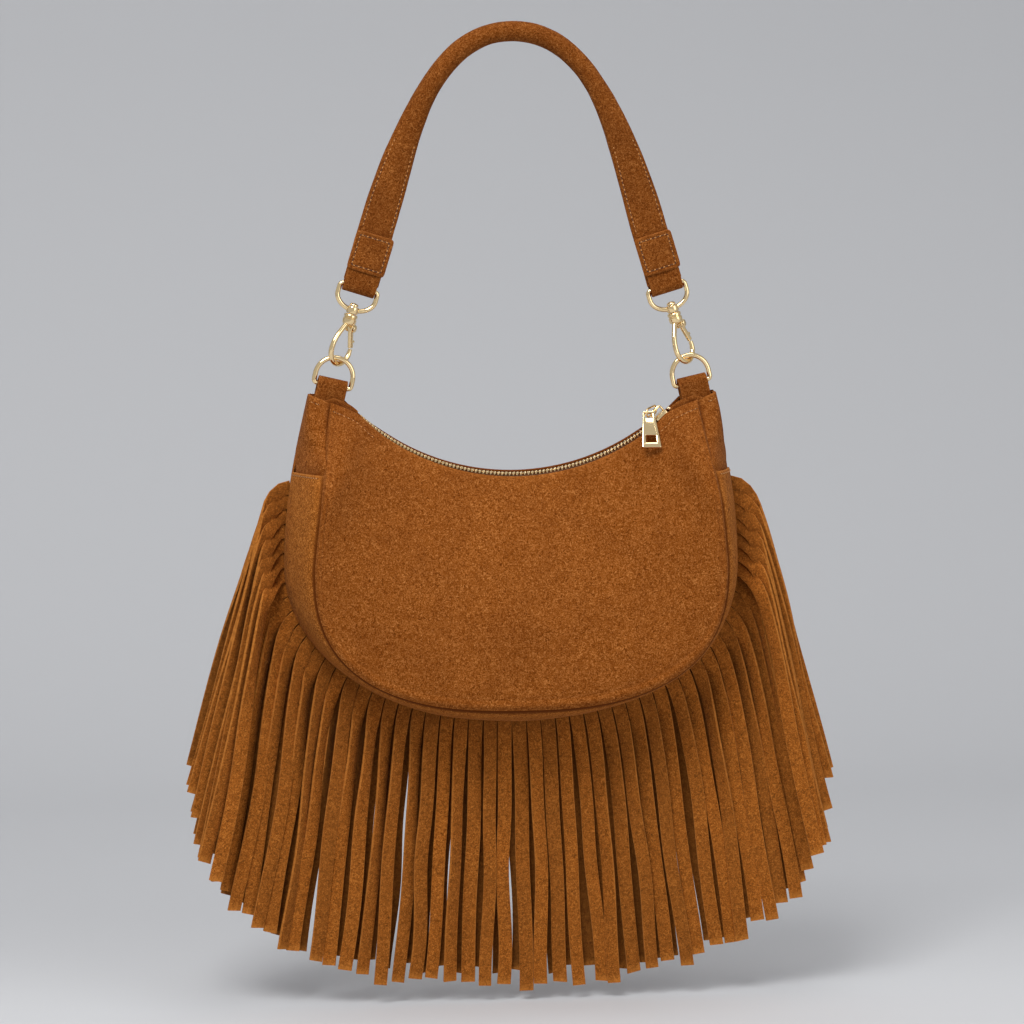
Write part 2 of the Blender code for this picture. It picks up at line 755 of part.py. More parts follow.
def build_ring(name, side):
    """Bend the ring's wire, round above and straight inside the tab."""
    round_part = arc_points((0.0, 0.0), RING_RADIUS, RING_RADIUS, math.pi, 0.0, 16)
    low = -RING_BAR_DROP + RING_CORNER
    right_corner = arc_points((RING_RADIUS - RING_CORNER, low), RING_CORNER, RING_CORNER,
                              0.0, -math.pi / 2, 3)
    left_corner = arc_points((-RING_RADIUS + RING_CORNER, low), RING_CORNER, RING_CORNER,
                             -math.pi / 2, -math.pi, 3)
    points = round_part + right_corner + left_corner
    wire = wire_mesh(name, points, RING_WIRE / 2, closed=True)
    smooth(add_object(name, wire, GOLD, ring_frame(side)))


def build_ring_tab(name, side):
    """Fold a tab over the ring's bar, with its legs inside the bag's corner."""
    inner = RING_WIRE / 2 + FOLD_EASE
    rows = fold_rows(inner, TAB_THICKNESS, TAB_LENGTH, TAB_WIDTH, False)
    mesh = sheet_mesh(name, rows)
    add_solidify(add_object(name, mesh, SUEDE, ring_bar_frame(side)), TAB_THICKNESS)


# Panels and gusset

def panel_rows(edge_z, seam, seam_x, edge_y, seam_y, swell, columns, rows):
    """Return a panel's grid between its top edge and its seam."""
    samples = []
    for k in range(CURVE_SAMPLES + 1):
        x = blend(-seam_x, seam_x, k / CURVE_SAMPLES)
        samples.append((x, edge_z(x)))
    edge = Path(samples)
    grid = []
    for r in range(rows + 1):
        v = r / rows
        line = []
        for c in range(columns + 1):
            share = c / columns
            top = edge.at(edge.length * share)
            low = seam.at(seam.length * share)
            place = top.lerp(low, v)
            y = blend(edge_y(top.x), seam_y(low.y), 1.0 - (1.0 - v) ** FALL_POWER)
            reach = min(abs(low.y - top.y) / BACK_SEAM_DEPTH, 1.0)
            y += swell * math.sin(math.pi * v) * reach
            line.append(Vector((place.x, y, place.y)))
        grid.append(line)
    return grid


def front_edge_y(x):
    """Return Y of the front panel's top edge, which makes room for the tab at its corners."""
    share = smoothstep(abs(x), FRONT_ARC_X, FRONT_SEAM_TOP_X)
    return -panel_face_y() - TAB_POCKET_EASE * share


def back_edge_y(x):
    """Return Y of the back panel's top edge."""
    return panel_face_y()


def build_front_panel():
    """Make the domed front panel."""
    rows = panel_rows(front_edge_z, whole_seam(front_half()), FRONT_SEAM_TOP_X, front_edge_y,
                      front_seam_y, -FRONT_SWELL, 28, 6)
    piece = add_object("front_panel", sheet_mesh("front_panel", rows), SUEDE)
    add_solidify(piece, PANEL_THICKNESS)
    smooth(piece)


def build_back_panel():
    """Make the domed back panel, with an ear at each corner behind the tab."""
    rows = panel_rows(back_edge_z, whole_seam(back_half()), CORNER_X, back_edge_y,
                      back_panel_y, BACK_SWELL, 28, 6)
    piece = add_object("back_panel", sheet_mesh("back_panel", rows), SUEDE)
    add_solidify(piece, PANEL_THICKNESS)
    smooth(piece)


def gusset_front_y(z):
    """Return Y of the gusset's front edge, behind the rim of the front panel."""
    return front_seam_y(z) + PANEL_THICKNESS / 2 + SEAM_EASE


def build_lower_gusset():
    """Make the band between the two seams, from one side seam to the other."""
    front = whole_seam(front_half())
    back = whole_seam(back_half())
    front_start = front_half().distance_of_height(SIDE_SEAM_Z)
    back_start = back_half().distance_of_height(SIDE_SEAM_Z)
    columns = 36
    bands = 3
    grid = []
    for b in range(bands + 1):
        share = b / bands
        line = []
        for c in range(columns + 1):
            a = front.at(blend(front_start, front.length - front_start, c / columns))
            d = back.at(blend(back_start, back.length - back_start, c / columns))
            place = a.lerp(d, share)
            y = blend(gusset_front_y(a.y), back_seam_y(d.y), share)
            line.append(Vector((place.x, y, place.y)))
        grid.append(line)
    piece = add_object("lower_gusset", sheet_mesh("lower_gusset", grid), SUEDE)
    add_solidify(piece, PANEL_THICKNESS)
    smooth(piece)


def build_side_top(name, side):
    """Wrap the side piece from the front seam round the corner to the back panel."""
    front = front_half()
    back = back_half()
    front_end = front.distance_of_height(SIDE_SEAM_Z + SIDE_SEAM_GAP)
    back_end = back.distance_of_height(SIDE_SEAM_Z + SIDE_SEAM_GAP)
    columns = 6
    steps = 6
    grid = []
    for r in range(steps + 1):
        a = front.at(front_end * r / steps)
        d = back.at(back_end * r / steps)
        start_y = gusset_front_y(a.y) - SEAM_EASE + SIDE_EASE
        end_y = back_panel_y(d.y) - PANEL_THICKNESS / 2 - GAP
        wrap = 1.0 - smoothstep(r / steps, 0.2, 1.0)
        power = blend(2.0, SIDE_SQUARENESS, wrap)
        line = []
        for c in range(columns + 1):
            angle = c / columns * math.pi / 2
            out = blend(c / columns, math.sin(angle) ** (2 / power), wrap)
            deep = 1.0 - max(math.cos(angle), 0.0) ** (2 / power)
            deep = blend(c / columns, deep, wrap)
            x = blend(a.x, d.x, out)
            z = blend(a.y, d.y, out)
            line.append(Vector((side * x, blend(start_y, end_y, deep), z)))
        grid.append(line)
    piece = add_object(name, sheet_mesh(name, grid), SUEDE)
    add_solidify(piece, PANEL_THICKNESS)
    smooth(piece)


# Zip

def zip_point(angle, rise, y):
    """Return a point at an angle along the zip's arc, at a rise above its line."""
    radius = ZIP_RADIUS - rise
    return Vector((radius * math.sin(angle), y, zip_centre_z() - radius * math.cos(angle)))


def zip_frame(angle):
    """Return the frame of the zip at an angle, with X along it and Z to its open side."""
    place = zip_point(angle, 0.0, 0.0)
    return Matrix.Translation(place) @ Matrix.Rotation(-angle, 4, "Y")


def tape_rise():
    """Return the rise of the middle of the tape."""
    return -TAPE_DROP


def chain_rise():
    """Return the rise of the underside of the teeth."""
    return tape_rise() + TAPE_THICKNESS / 2 + GAP


def build_tape(name, front):
    """Lay one tape along the zip between its panel and the middle gap."""
    outer = ZIP_HALF_OPENING - GAP
    inner = CHAIN_GAP / 2
    steps = 32
    grid = []
    for y in (outer, inner):
        line = []
        for k in range(steps + 1):
            angle = blend(-zip_tape_angle(), zip_tape_angle(), k / steps)
            line.append(zip_point(angle, tape_rise(), -y if front else y))
        grid.append(line)
    piece = add_object(name, sheet_mesh(name, grid), TAPE_CLOTH)
    add_solidify(piece, TAPE_THICKNESS)


def stop_angle():
    """Return the angle that one stop takes along the zip."""
    return STOP_LENGTH / ZIP_RADIUS


def zip_end_angle():
    """Return the angle at which the zip's end piece meets the side of the ring tab."""
    tab = ring_bar_frame(1).inverted()
    limit = -TAB_WIDTH / 2 - GAP
    low, high = 0.0, math.pi / 2
    for _ in range(50):
        angle = (low + high) / 2
        rises = (tape_rise() - ZIP_END_THICKNESS / 2, tape_rise() + ZIP_END_THICKNESS / 2)
        reach = max((tab @ zip_point(angle, rise, 0.0)).x for rise in rises)
        if reach < limit:
            low = angle
        else:
            high = angle
    return low


def zip_tape_angle():
    """Return half the angle of the tapes, which reach past the stops."""
    return zip_end_angle() - (ZIP_END_LENGTH + GAP) / ZIP_RADIUS


def chain_half_angle():
    """Return half the angle of the rows of teeth, which end at the stops."""
    return zip_tape_angle() - stop_angle() - 2 * GAP / ZIP_RADIUS


def slider_angle():
    """Return the angle of the middle of the slider, which rests near the top stops."""
    return chain_half_angle() - (SLIDER_LENGTH / 2 + SLIDER_REST) / ZIP_RADIUS


def build_teeth(name, front):
    """Make one row of teeth on its rail, with a tooth and a notch by turns."""
    low = chain_rise()
    rail = low + TOOTH_RAIL_HEIGHT
    top = low + TOOTH_HEIGHT
    near = CHAIN_GAP / 2
    far = near + TOOTH_ROW_WIDTH
    sign = -1.0 if front else 1.0
    cells = 2 * TEETH_PER_ROW - 1
    half_angle = chain_half_angle()
    bm = bmesh.new()

    def corner_pair(angle, rise):
        return [bm.verts.new(zip_point(angle, rise, sign * y)) for y in (near, far)]

    columns = []
    for k in range(cells + 1):
        angle = blend(-half_angle, half_angle, k / cells)
        columns.append((corner_pair(angle, low), corner_pair(angle, rail),
                        corner_pair(angle, top)))
    for k in range(cells):
        tooth = k % 2 == 0
        a, b = columns[k], columns[k + 1]
        level = 2 if tooth else 1
        bm.faces.new((a[0][0], b[0][0], b[0][1], a[0][1]))
        bm.faces.new((a[level][0], a[level][1], b[level][1], b[level][0]))
        for s in (0, 1):
            bm.faces.new((a[0][s], b[0][s], b[1][s], a[1][s]))
            if tooth:
                bm.faces.new((a[1][s], b[1][s], b[2][s], a[2][s]))
        if tooth:
            for edge in (a, b):
                bm.faces.new((edge[1][0], edge[1][1], edge[2][1], edge[2][0]))
    for edge in (columns[0], columns[-1]):
        bm.faces.new((edge[0][0], edge[0][1], edge[1][1], edge[1][0]))
    add_object(name, mesh_from(bm, name), GOLD)


def build_stop(name, angle, low_y, high_y):
    """Clamp a stop on the tapes at an angle."""
    centre = (0.0, (low_y + high_y) / 2, chain_rise() + STOP_HEIGHT / 2)
    bm = box_bmesh((STOP_LENGTH - 2 * GAP, high_y - low_y, STOP_HEIGHT), centre)
    piece = add_object(name, mesh_from(bm, name), GOLD, zip_frame(angle))
    bevel = piece.modifiers.new("edges", "BEVEL")
    bevel.width = STOP_HEIGHT / 8
    bevel.segments = 1


def build_zip_end(name, side):
    """Close one end of the zip with a piece of suede between the panels."""
    start = zip_tape_angle() + GAP / ZIP_RADIUS
    outer = ZIP_HALF_OPENING - GAP
    steps = 3
    grid = []
    for y in (-outer, outer):
        line = []
        for k in range(steps + 1):
            angle = side * blend(start, zip_end_angle(), k / steps)
            line.append(zip_point(angle, tape_rise(), y))
        grid.append(line)
    piece = add_object(name, sheet_mesh(name, grid), SUEDE)
    add_solidify(piece, ZIP_END_THICKNESS)


def slider_deck():
    """Return the rise of the underside of the slider's top plate."""
    return chain_rise() + TOOTH_HEIGHT + GAP


def bail_centre_rise():
    """Return the rise of the middle of the bail's bar."""
    return slider_deck() + SLIDER_PLATE + BAIL_HEIGHT


def build_slider():
    """Make the slider: two plates joined by a post, with flanges and a bail."""
    flange_y = CHAIN_GAP / 2 + TOOTH_ROW_WIDTH + GAP
    deck = slider_deck()
    width = 2 * (flange_y + SLIDER_FLANGE)
    plate = box_bmesh((SLIDER_LENGTH, width, SLIDER_PLATE), (0.0, 0.0, deck + SLIDER_PLATE / 2))
    piece = add_object("zip_slider", mesh_from(plate, "zip_slider"), GOLD,
                       zip_frame(slider_angle()))
    tape_top = tape_rise() + TAPE_THICKNESS / 2 + GAP
    flange_height = deck + SLIDER_PLATE / 2 - tape_top
    for side in (-1, 1):
        y = side * (flange_y + SLIDER_FLANGE / 2)
        flange = box_bmesh((SLIDER_LENGTH, SLIDER_FLANGE, flange_height),
                           (0.0, y, tape_top + flange_height / 2))
        combine(piece, mesh_from(flange, "flange"), "UNION", "slider_flange")
    lower_top = tape_rise() - TAPE_THICKNESS / 2 - GAP
    lower = box_bmesh((SLIDER_LENGTH, width, SLIDER_PLATE),
                      (0.0, 0.0, lower_top - SLIDER_PLATE / 2))
    post_width = CHAIN_GAP - 2 * GAP
    post_height = deck - lower_top + SLIDER_PLATE
    post = box_bmesh((SLIDER_POST_LENGTH, post_width, post_height),
                     (SLIDER_LENGTH / 2 - SLIDER_POST_LENGTH / 2 - 2 * GAP, 0.0,
                      (deck + lower_top) / 2))
    combine(piece, mesh_from(post, "post"), "UNION", "slider_post")
    combine(piece, mesh_from(lower, "lower"), "UNION", "slider_lower_plate")
    base = deck + SLIDER_PLATE / 2
    rise = bail_centre_rise()
    corner = BAIL_HEIGHT * 0.4
    half = BAIL_SPAN / 2
    arch = [Vector((-half, 0.0, base))]
    arch += arc_points((-half + corner, rise - corner), corner, corner, math.pi, math.pi / 2, 4)
    arch += arc_points((half - corner, rise - corner), corner, corner, math.pi / 2, 0.0, 4)
    arch.append(Vector((half, 0.0, base)))
    combine(piece, wire_mesh("bail", arch, BAIL_WIRE / 2), "UNION", "slider_bail")
    smooth(piece)


def link_radius():
    """Return the radius of the middle of the link's wire at its ends."""
    return LINK_INNER_RADIUS + LINK_WIRE / 2


def link_play():
    """Return how far each end of the link lies from what it holds, centre to centre."""
    return LINK_INNER_RADIUS - BAIL_WIRE / 2 - LINK_EASE


def link_frame():
    """Return the frame at the bail's bar, with X along the link and away from the slider."""
    bail = zip_frame(slider_angle()) @ Vector((0.0, 0.0, bail_centre_rise()))
    turn = Matrix.Rotation(math.pi + LINK_YAW, 4, "Z") @ Matrix.Rotation(LINK_DIP, 4, "Y")
    return Matrix.Translation(bail) @ turn


def build_link():
    """Bend the oval link that joins the slider's bail to the pull."""
    radius = link_radius()
    near = link_play()
    far = near + LINK_STRAIGHT
    points = arc_points((near, 0.0), radius, radius, math.pi / 2, 3 * math.pi / 2, 6)
    points += arc_points((far, 0.0), radius, radius, -math.pi / 2, math.pi / 2, 6)
    wire = wire_mesh("pull_link", points, LINK_WIRE / 2, closed=True)
    smooth(add_object("pull_link", wire, GOLD, link_frame()))


def pull_frame():
    """Return the frame at the top bar of the pull, which hangs in the link's far end."""
    seat = link_play() + LINK_STRAIGHT + link_play() - LINK_WIRE / 2
    bar = link_frame() @ Vector((seat, 0.0, 0.0))
    return Matrix.Translation(bar) @ Matrix.Rotation(-PULL_LEAN, 4, "X")


def build_pull_tab():
    """Make the tapered pull with its slot for the link and its window."""
    top = PULL_BAR / 2
    bm = box_bmesh((1.0, PULL_THICKNESS, PULL_LENGTH), (0.0, 0.0, top - PULL_LENGTH / 2))
    for vert in bm.verts:
        width = PULL_TOP_WIDTH if vert.co.z > -PULL_LENGTH / 2 else PULL_BOTTOM_WIDTH
        vert.co.x *= width
    bmesh.ops.bevel(bm, geom=bm.edges[:], offset=PULL_THICKNESS / 4, segments=1, profile=0.5,
                    affect="EDGES", material=-1)
    piece = add_object("pull_tab", mesh_from(bm, "pull_tab"), GOLD, pull_frame())
    slot = box_bmesh((PULL_SLOT_WIDTH, PULL_THICKNESS * 3, PULL_SLOT_HEIGHT),
                     (0.0, 0.0, -PULL_BAR / 2 - PULL_SLOT_HEIGHT / 2))
    combine(piece, mesh_from(slot, "slot"), "DIFFERENCE", "pull_slot")
    window_z = top - PULL_LENGTH + PULL_WINDOW_RISE + PULL_WINDOW_HEIGHT / 2
    window = box_bmesh((PULL_WINDOW_WIDTH, PULL_THICKNESS * 3, PULL_WINDOW_HEIGHT),
                       (0.0, 0.0, window_z))
    combine(piece, mesh_from(window, "window"), "DIFFERENCE", "pull_window")


# Fringe

def envelope_z(x, rise):
    """Return the height of a strand's end at x."""
    share = min(abs(x) / FRINGE_HALF_WIDTH, 1.0)
    reach = (1.0 - share ** FRINGE_POWER) ** (1 / FRINGE_POWER)
    return FRINGE_END_Z - FRINGE_DEPTH * reach + rise


def strand_line(root, outward, rise):
    """Return a strand's curve after its root in the front view, and its share of the seam."""
    side = -1.0 if root.x < 0 else 1.0
    seam = back_half()
    start = seam.distance_of_height(FRINGE_START_Z)
    place = Vector((abs(root.x), root.y))
    from_start = seam_distance(seam, place) - start
    span = seam.length - start
    share = min(max(from_start / span, 0.0), 1.0)
    flare = FRINGE_FLARE * (1.0 - share) ** 1.7
    end_x = abs(root.x) + flare
    end = Vector((side * end_x, envelope_z(end_x, rise)))
    lean = math.radians(14.0) * (1.0 - share) ** 1.2
    drop = (root - end).length
    down = Vector((side * math.sin(lean), -math.cos(lean)))
    arch = blend(0.12, 0.16, 1.0 - share) * drop
    handle_a = root + outward * arch
    handle_b = end - down * (drop * 0.62)
    return (handle_a, handle_b, end), share


def seam_distance(seam, place):
    """Return how far along a half seam a point of it lies, by its height or its x."""
    if place.y > WIDEST_Z - BACK_SEAM_DEPTH / 2:
        return seam.distance_of_height(place.y)
    low = seam.distance_of_height(WIDEST_Z - BACK_SEAM_DEPTH / 2)
    high = seam.length
    for _ in range(30):
        middle = (low + high) / 2
        if seam.at(middle).x > place.x:
            low = middle
        else:
            high = middle
    return (low + high) / 2


def strand_level(place):
    """Return how many strands deep a strand hangs, by its place from the nearer side.

    The strands at the sides fall over each other, and the rest lie in two levels by turns.
    """
    if place < FRINGE_SIDE_STRANDS:
        return FRINGE_SIDE_STRANDS + 1 - place
    return place % 2


def fringe_rim():
    """Return how far the header reaches past the seam, to clear the face of the gusset."""
    return PANEL_THICKNESS / 2 + FRINGE_RIM_EASE


def build_fringe(name, layer, rise, shift, outward_sign):
    """Cut one strip of suede into strands and hang them from the back seam."""
    half = back_half()
    seam = whole_seam(half)
    start = half.distance_of_height(FRINGE_START_Z)
    pitch = (seam.length - 2 * start) / STRANDS
    width = pitch * STRAND_FILL
    bm = bmesh.new()
    header = []
    previous = None
    count = STRANDS if shift == 0.0 else STRANDS - 1
    for k in range(count):
        middle = start + pitch * (k + 0.5 + shift)
        pair = []
        for edge in (-1.0, 1.0):
            distance = middle + edge * width / 2
            point = seam.at(distance)
            along = seam.tangent(distance)
            outward = Vector((along.y, -along.x))
            y = back_seam_y(point.y) + layer
            inner = point - outward * FRINGE_HEADER
            rim = point + outward * fringe_rim()
            pair.append((bm.verts.new((inner.x, y, inner.y)),
                         bm.verts.new((rim.x, y, rim.y))))
        if previous is not None:
            bm.faces.new((previous[0], previous[1], pair[0][1], pair[0][0]))
        bm.faces.new((pair[0][0], pair[0][1], pair[1][1], pair[1][0]))
        previous = pair[1]
        header.append(pair)
        root = seam.at(middle)
        along = seam.tangent(middle)
        outward = Vector((along.y, -along.x))
        controls, share = strand_line(root, outward, rise)
        steps = 3 + round(3 * (1.0 - share))
        line = interpolate_bezier(root + outward * fringe_rim(), *controls, steps * 6 + 1)
        root_y = back_seam_y(root.y) + layer
        level = strand_level(min(k, count - 1 - k))
        hang_y = BACK_DEPTH + layer + outward_sign * level * (FRINGE_THICKNESS + FRINGE_LEVEL_GAP)
        last = (pair[0][1], pair[1][1])
        for s in range(1, steps + 1):
            u = (s / steps) ** blend(1.0, 1.5, 1.0 - share)
            at = u * (len(line) - 1)
            low = min(int(at), len(line) - 2)
            centre = line[low].lerp(line[low + 1], at - low)
            direction = (line[low + 1] - line[low]).normalized()
            across = Vector((-direction.y, direction.x)) * (-width / 2)
            depth = blend(root_y, hang_y, smoothstep(u, 0.0, FRINGE_TURN))
            a = centre + across
            b = centre - across
            row = (bm.verts.new((a.x, depth, a.y)), bm.verts.new((b.x, depth, b.y)))
            bm.faces.new((last[0], row[0], row[1], last[1]))
            last = row
    mesh = bpy.data.meshes.new(name)
    bm.to_mesh(mesh)
    bm.free()
    add_solidify(add_object(name, mesh, FRINGE_SUEDE), FRINGE_THICKNESS)


# Whole bag

def build_all():
    """Build every piece of the bag."""
    build_handle()
    for label, side in SIDES:
        build_strap_end(label + "_strap_end", side)
        build_end_patch(label + "_end_patch", side)
        build_swivel_loop(label + "_swivel_loop", side)
        build_hook(label + "_hook", side)
        build_gate(label + "_gate", side)
        build_gate_rivet(label + "_gate_rivet", side)
        build_ring(label + "_ring", side)
        build_ring_tab(label + "_ring_tab", side)
        build_side_top(label + "_side_top", side)
        build_zip_end(label + "_zip_end", side)
    build_front_panel()
    build_back_panel()
    build_lower_gusset()
    build_tape("front_zip_tape", True)
    build_tape("back_zip_tape", False)
    build_teeth("front_zip_teeth", True)
    build_teeth("back_zip_teeth", False)
    stop_at = chain_half_angle() + stop_angle() / 2 + GAP / ZIP_RADIUS
    near = CHAIN_GAP / 2
    far = near + TOOTH_ROW_WIDTH
    build_stop("zip_bottom_stop", -stop_at, -far, far)
    build_stop("front_top_stop", stop_at, -far, -near)
    build_stop("back_top_stop", stop_at, near, far)
    build_slider()
    build_link()
    build_pull_tab()
    outer_layer = SEAM_EASE + FRINGE_THICKNESS / 2
    rear_layer = outer_layer + GAP + FRINGE_THICKNESS
    build_fringe("outer_fringe", outer_layer, 0.0, 0.0, -1.0)
    build_fringe("rear_fringe", rear_layer, REAR_FRINGE_RISE, 0.5, 1.0)
    bpy.context.view_layer.update()


build_all()
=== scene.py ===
"""Looks of a half-moon suede shoulder bag with two rows of cut fringe.

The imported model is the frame: metres, +Z up, the hang point at the origin, -Y the front.
"""

import logging
import math
import random
from collections.abc import Callable, Iterable, Sequence
from dataclasses import dataclass, field
from enum import Enum
from functools import cached_property

import bmesh
import bpy
from mathutils import Matrix, Vector, noise
from mathutils.geometry import interpolate_bezier


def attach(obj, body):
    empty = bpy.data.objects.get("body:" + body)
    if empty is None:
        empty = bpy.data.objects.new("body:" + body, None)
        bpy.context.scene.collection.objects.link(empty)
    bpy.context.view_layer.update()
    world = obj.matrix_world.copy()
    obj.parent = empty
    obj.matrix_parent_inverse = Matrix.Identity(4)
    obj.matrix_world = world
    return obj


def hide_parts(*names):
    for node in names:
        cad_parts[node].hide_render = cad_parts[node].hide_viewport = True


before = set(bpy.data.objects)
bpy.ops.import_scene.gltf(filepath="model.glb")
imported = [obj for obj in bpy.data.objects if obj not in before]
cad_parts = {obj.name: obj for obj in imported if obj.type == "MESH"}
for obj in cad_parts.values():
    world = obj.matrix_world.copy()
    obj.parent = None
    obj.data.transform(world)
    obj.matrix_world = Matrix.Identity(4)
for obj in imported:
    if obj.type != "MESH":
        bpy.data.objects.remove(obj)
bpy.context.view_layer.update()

LOG = logging.getLogger("fringed_bag")
MM = 0.001
CLOSE = 0.02 * MM
SHARP = math.radians(42.0)
Colour = tuple[float, float, float]
Shape = Callable[[float, float], Vector]


class Side(Enum):
    """The two sides of the bag, seen from the front."""

    LEFT = -1
    RIGHT = 1

    @property
    def label(self) -> str:
        """The word that starts the names of this side's pieces."""
        return self.name.lower()


class Slot(Enum):
    """The record's material slots."""

    SUEDE = "suede"
    HANDLE = "handle_suede"
    FRINGE = "fringe_suede"
    TAPE = "tape_cloth"
    GOLD = "pale_gold"


def blend(start: float, end: float, share: float) -> float:
    """Return the value a share of the way from start to end."""
    return start + (end - start) * share


def smoothstep(value: float, low: float, high: float) -> float:
    """Return a smooth rise from 0 at low to 1 at high."""
    share = min(max((value - low) / (high - low), 0.0), 1.0)
    return share * share * (3.0 - 2.0 * share)


def bump(value: float, centre: float, width: float) -> float:
    """Return a soft bump of height 1 at the centre."""
    return math.exp(-((value - centre) / width) ** 2)


class Line:
    """A line through points, read by its length."""

    def __init__(self, points: Iterable[Sequence[float]]) -> None:
        """Measure the line.

        Args:
            points: Points of two or three numbers, in order.
        """
        self.points = [Vector(point) for point in points]
        self.lengths = [0.0]
        for before, after in zip(self.points, self.points[1:]):
            self.lengths.append(self.lengths[-1] + (after - before).length)
        self.length = self.lengths[-1]

    def at(self, distance: float) -> Vector:
        """Return the point at a distance along the line.

        Args:
            distance: Metres from the line's start, held to its length.

        Returns:
            The point there.
        """
        distance = min(max(distance, 0.0), self.length)
        low, high = 0, len(self.lengths) - 1
        while high - low > 1:
            middle = (low + high) // 2
            if self.lengths[middle] <= distance:
                low = middle
            else:
                high = middle
        span = self.lengths[high] - self.lengths[low]
        share = (distance - self.lengths[low]) / span if span else 0.0
        return self.points[low].lerp(self.points[high], share)

    def tangent(self, distance: float) -> Vector:
        """Return the direction of the line at a distance along it."""
        step = self.length / 400
        return (self.at(distance + step) - self.at(distance - step)).normalized()

    def distance_of_height(self, height: float) -> float:
        """Return how far along a falling line of two numbers its height reaches a value."""
        for index, point in enumerate(self.points[1:], 1):
            above = self.points[index - 1].y
            if point.y <= height:
                share = (above - height) / (above - point.y) if above > point.y else 1.0
                return blend(self.lengths[index - 1], self.lengths[index], share)
        return self.length


# Meshes

def mapped_grid(columns: int, rows: int, shape: Shape, tube: bool = False,
                capped: bool = False, rim: Callable[[float, float], float] | None = None,
                shade: Callable[[float, float], float] | None = None) -> bmesh.types.BMesh:
    """Bend a flat grid into a surface.

    Args:
        columns: Faces across, along u.
        rows: Faces along, along v.
        shape: Gives the place of a point from its u and v, each from 0 to 1.
        tube: Whether edges that meet are merged and the normals turned outwards.
        capped: Whether a tube's open ends are closed.
        rim: Gives the mark from 0 to 1 of rubbed and cut edges and of painted highlights on turned
            edges.
        shade: Gives the mark from 0 to 1 of painted shade, and of each fringe strand's own tone.

    Returns:
        The surface, with a UV map of u and v.
    """
    bm = bmesh.new()
    bm.loops.layers.uv.new("UVMap")
    layers = [(bm.verts.layers.float.new(name), mark)
              for name, mark in (("rim", rim), ("shade", shade))]
    bmesh.ops.create_grid(bm, x_segments=columns, y_segments=rows, size=1.0, calc_uvs=True)
    for vert in bm.verts:
        u, v = (vert.co.x + 1.0) / 2.0, (vert.co.y + 1.0) / 2.0
        for layer, mark in layers:
            vert[layer] = mark(u, v) if mark else 0.0
        vert.co = shape(u, v)
    if tube:
        bmesh.ops.remove_doubles(bm, verts=bm.verts, dist=CLOSE)
        if capped:
            edges = [edge for edge in bm.edges if edge.is_boundary]
            bmesh.ops.holes_fill(bm, edges=edges, sides=0)
        bmesh.ops.recalc_face_normals(bm, faces=bm.faces)
    return bm


def join_bmesh(target: bmesh.types.BMesh, part: bmesh.types.BMesh,
               place: Matrix | None = None) -> None:
    """Move a part into a bigger mesh.

    Args:
        target: The mesh that grows.
        part: The part, which is used up.
        place: Where the part goes, or None if it is there already.
    """
    if place is not None:
        part.transform(place)
    carrier = bpy.data.meshes.new("carrier")
    part.to_mesh(carrier)
    part.free()
    target.from_mesh(carrier)
    bpy.data.meshes.remove(carrier)


def rounded_section(width: float, thickness: float, radius: float, steps: int
                    ) -> list[tuple[float, float]]:
    """Return the outline of a rounded bar, from the middle of its lower face.

    Args:
        width: Across the bar.
        thickness: Through the bar.
        radius: Of each corner.
        steps: Parts of each corner.

    Returns:
        Offsets across and through, closed by a repeat of the first.
    """
    half_w, half_t = width / 2 - radius, thickness / 2 - radius
    outline = [(0.0, -thickness / 2)]
    for x, y, start in ((half_w, -half_t, -90.0), (half_w, half_t, 0.0),
                        (-half_w, half_t, 90.0), (-half_w, -half_t, 180.0)):
        for step in range(steps + 1):
            angle = math.radians(start + 90.0 * step / steps)
            outline.append((x + radius * math.cos(angle), y + radius * math.sin(angle)))
    outline.append(outline[0])
    return outline


def tube_bmesh(points: Sequence[Vector], radius: float | Callable[[float], float],
               closed: bool, sides: int = 18, flat: float = 1.0) -> bmesh.types.BMesh:
    """Sweep a round wire along points that lie in one plane of constant Y.

    Args:
        points: The wire's middle line in its own XZ plane.
        radius: The wire's radius, or a function of the share of its length.
        closed: Whether the wire joins its own start.
        sides: Faces round the wire.
        flat: Depth of the section over its width.

    Returns:
        The closed wire.
    """
    line = Line(list(points) + ([points[0]] if closed else []))
    rows = max(8, len(line.points) - 1)
    last = line.length

    def place(u: float, v: float) -> Vector:
        centre = line.at(last * v)
        if closed:
            step = last / 400
            ahead = line.at((last * v + step) % last)
            behind = line.at((last * v - step) % last)
            along = (ahead - behind).normalized()
        else:
            along = line.tangent(last * v)
        across = Vector((along.z, 0.0, -along.x))
        size = radius(v) if callable(radius) else radius
        turn = 2.0 * math.pi * u
        return centre + across * (size * math.cos(turn)) + Vector(
            (0.0, flat * size * math.sin(turn), 0.0))

    return mapped_grid(sides, rows, place, tube=True, capped=not closed)


def arc_points(centre: tuple[float, float], radius: float, height: float, start: float,
               end: float, steps: int) -> list[Vector]:
    """Return points of an arc in the XZ plane, with both its ends."""
    points = []
    for step in range(steps + 1):
        angle = blend(start, end, step / steps)
        points.append(Vector((centre[0] + radius * math.cos(angle), 0.0,
                              centre[1] + height * math.sin(angle))))
    return points


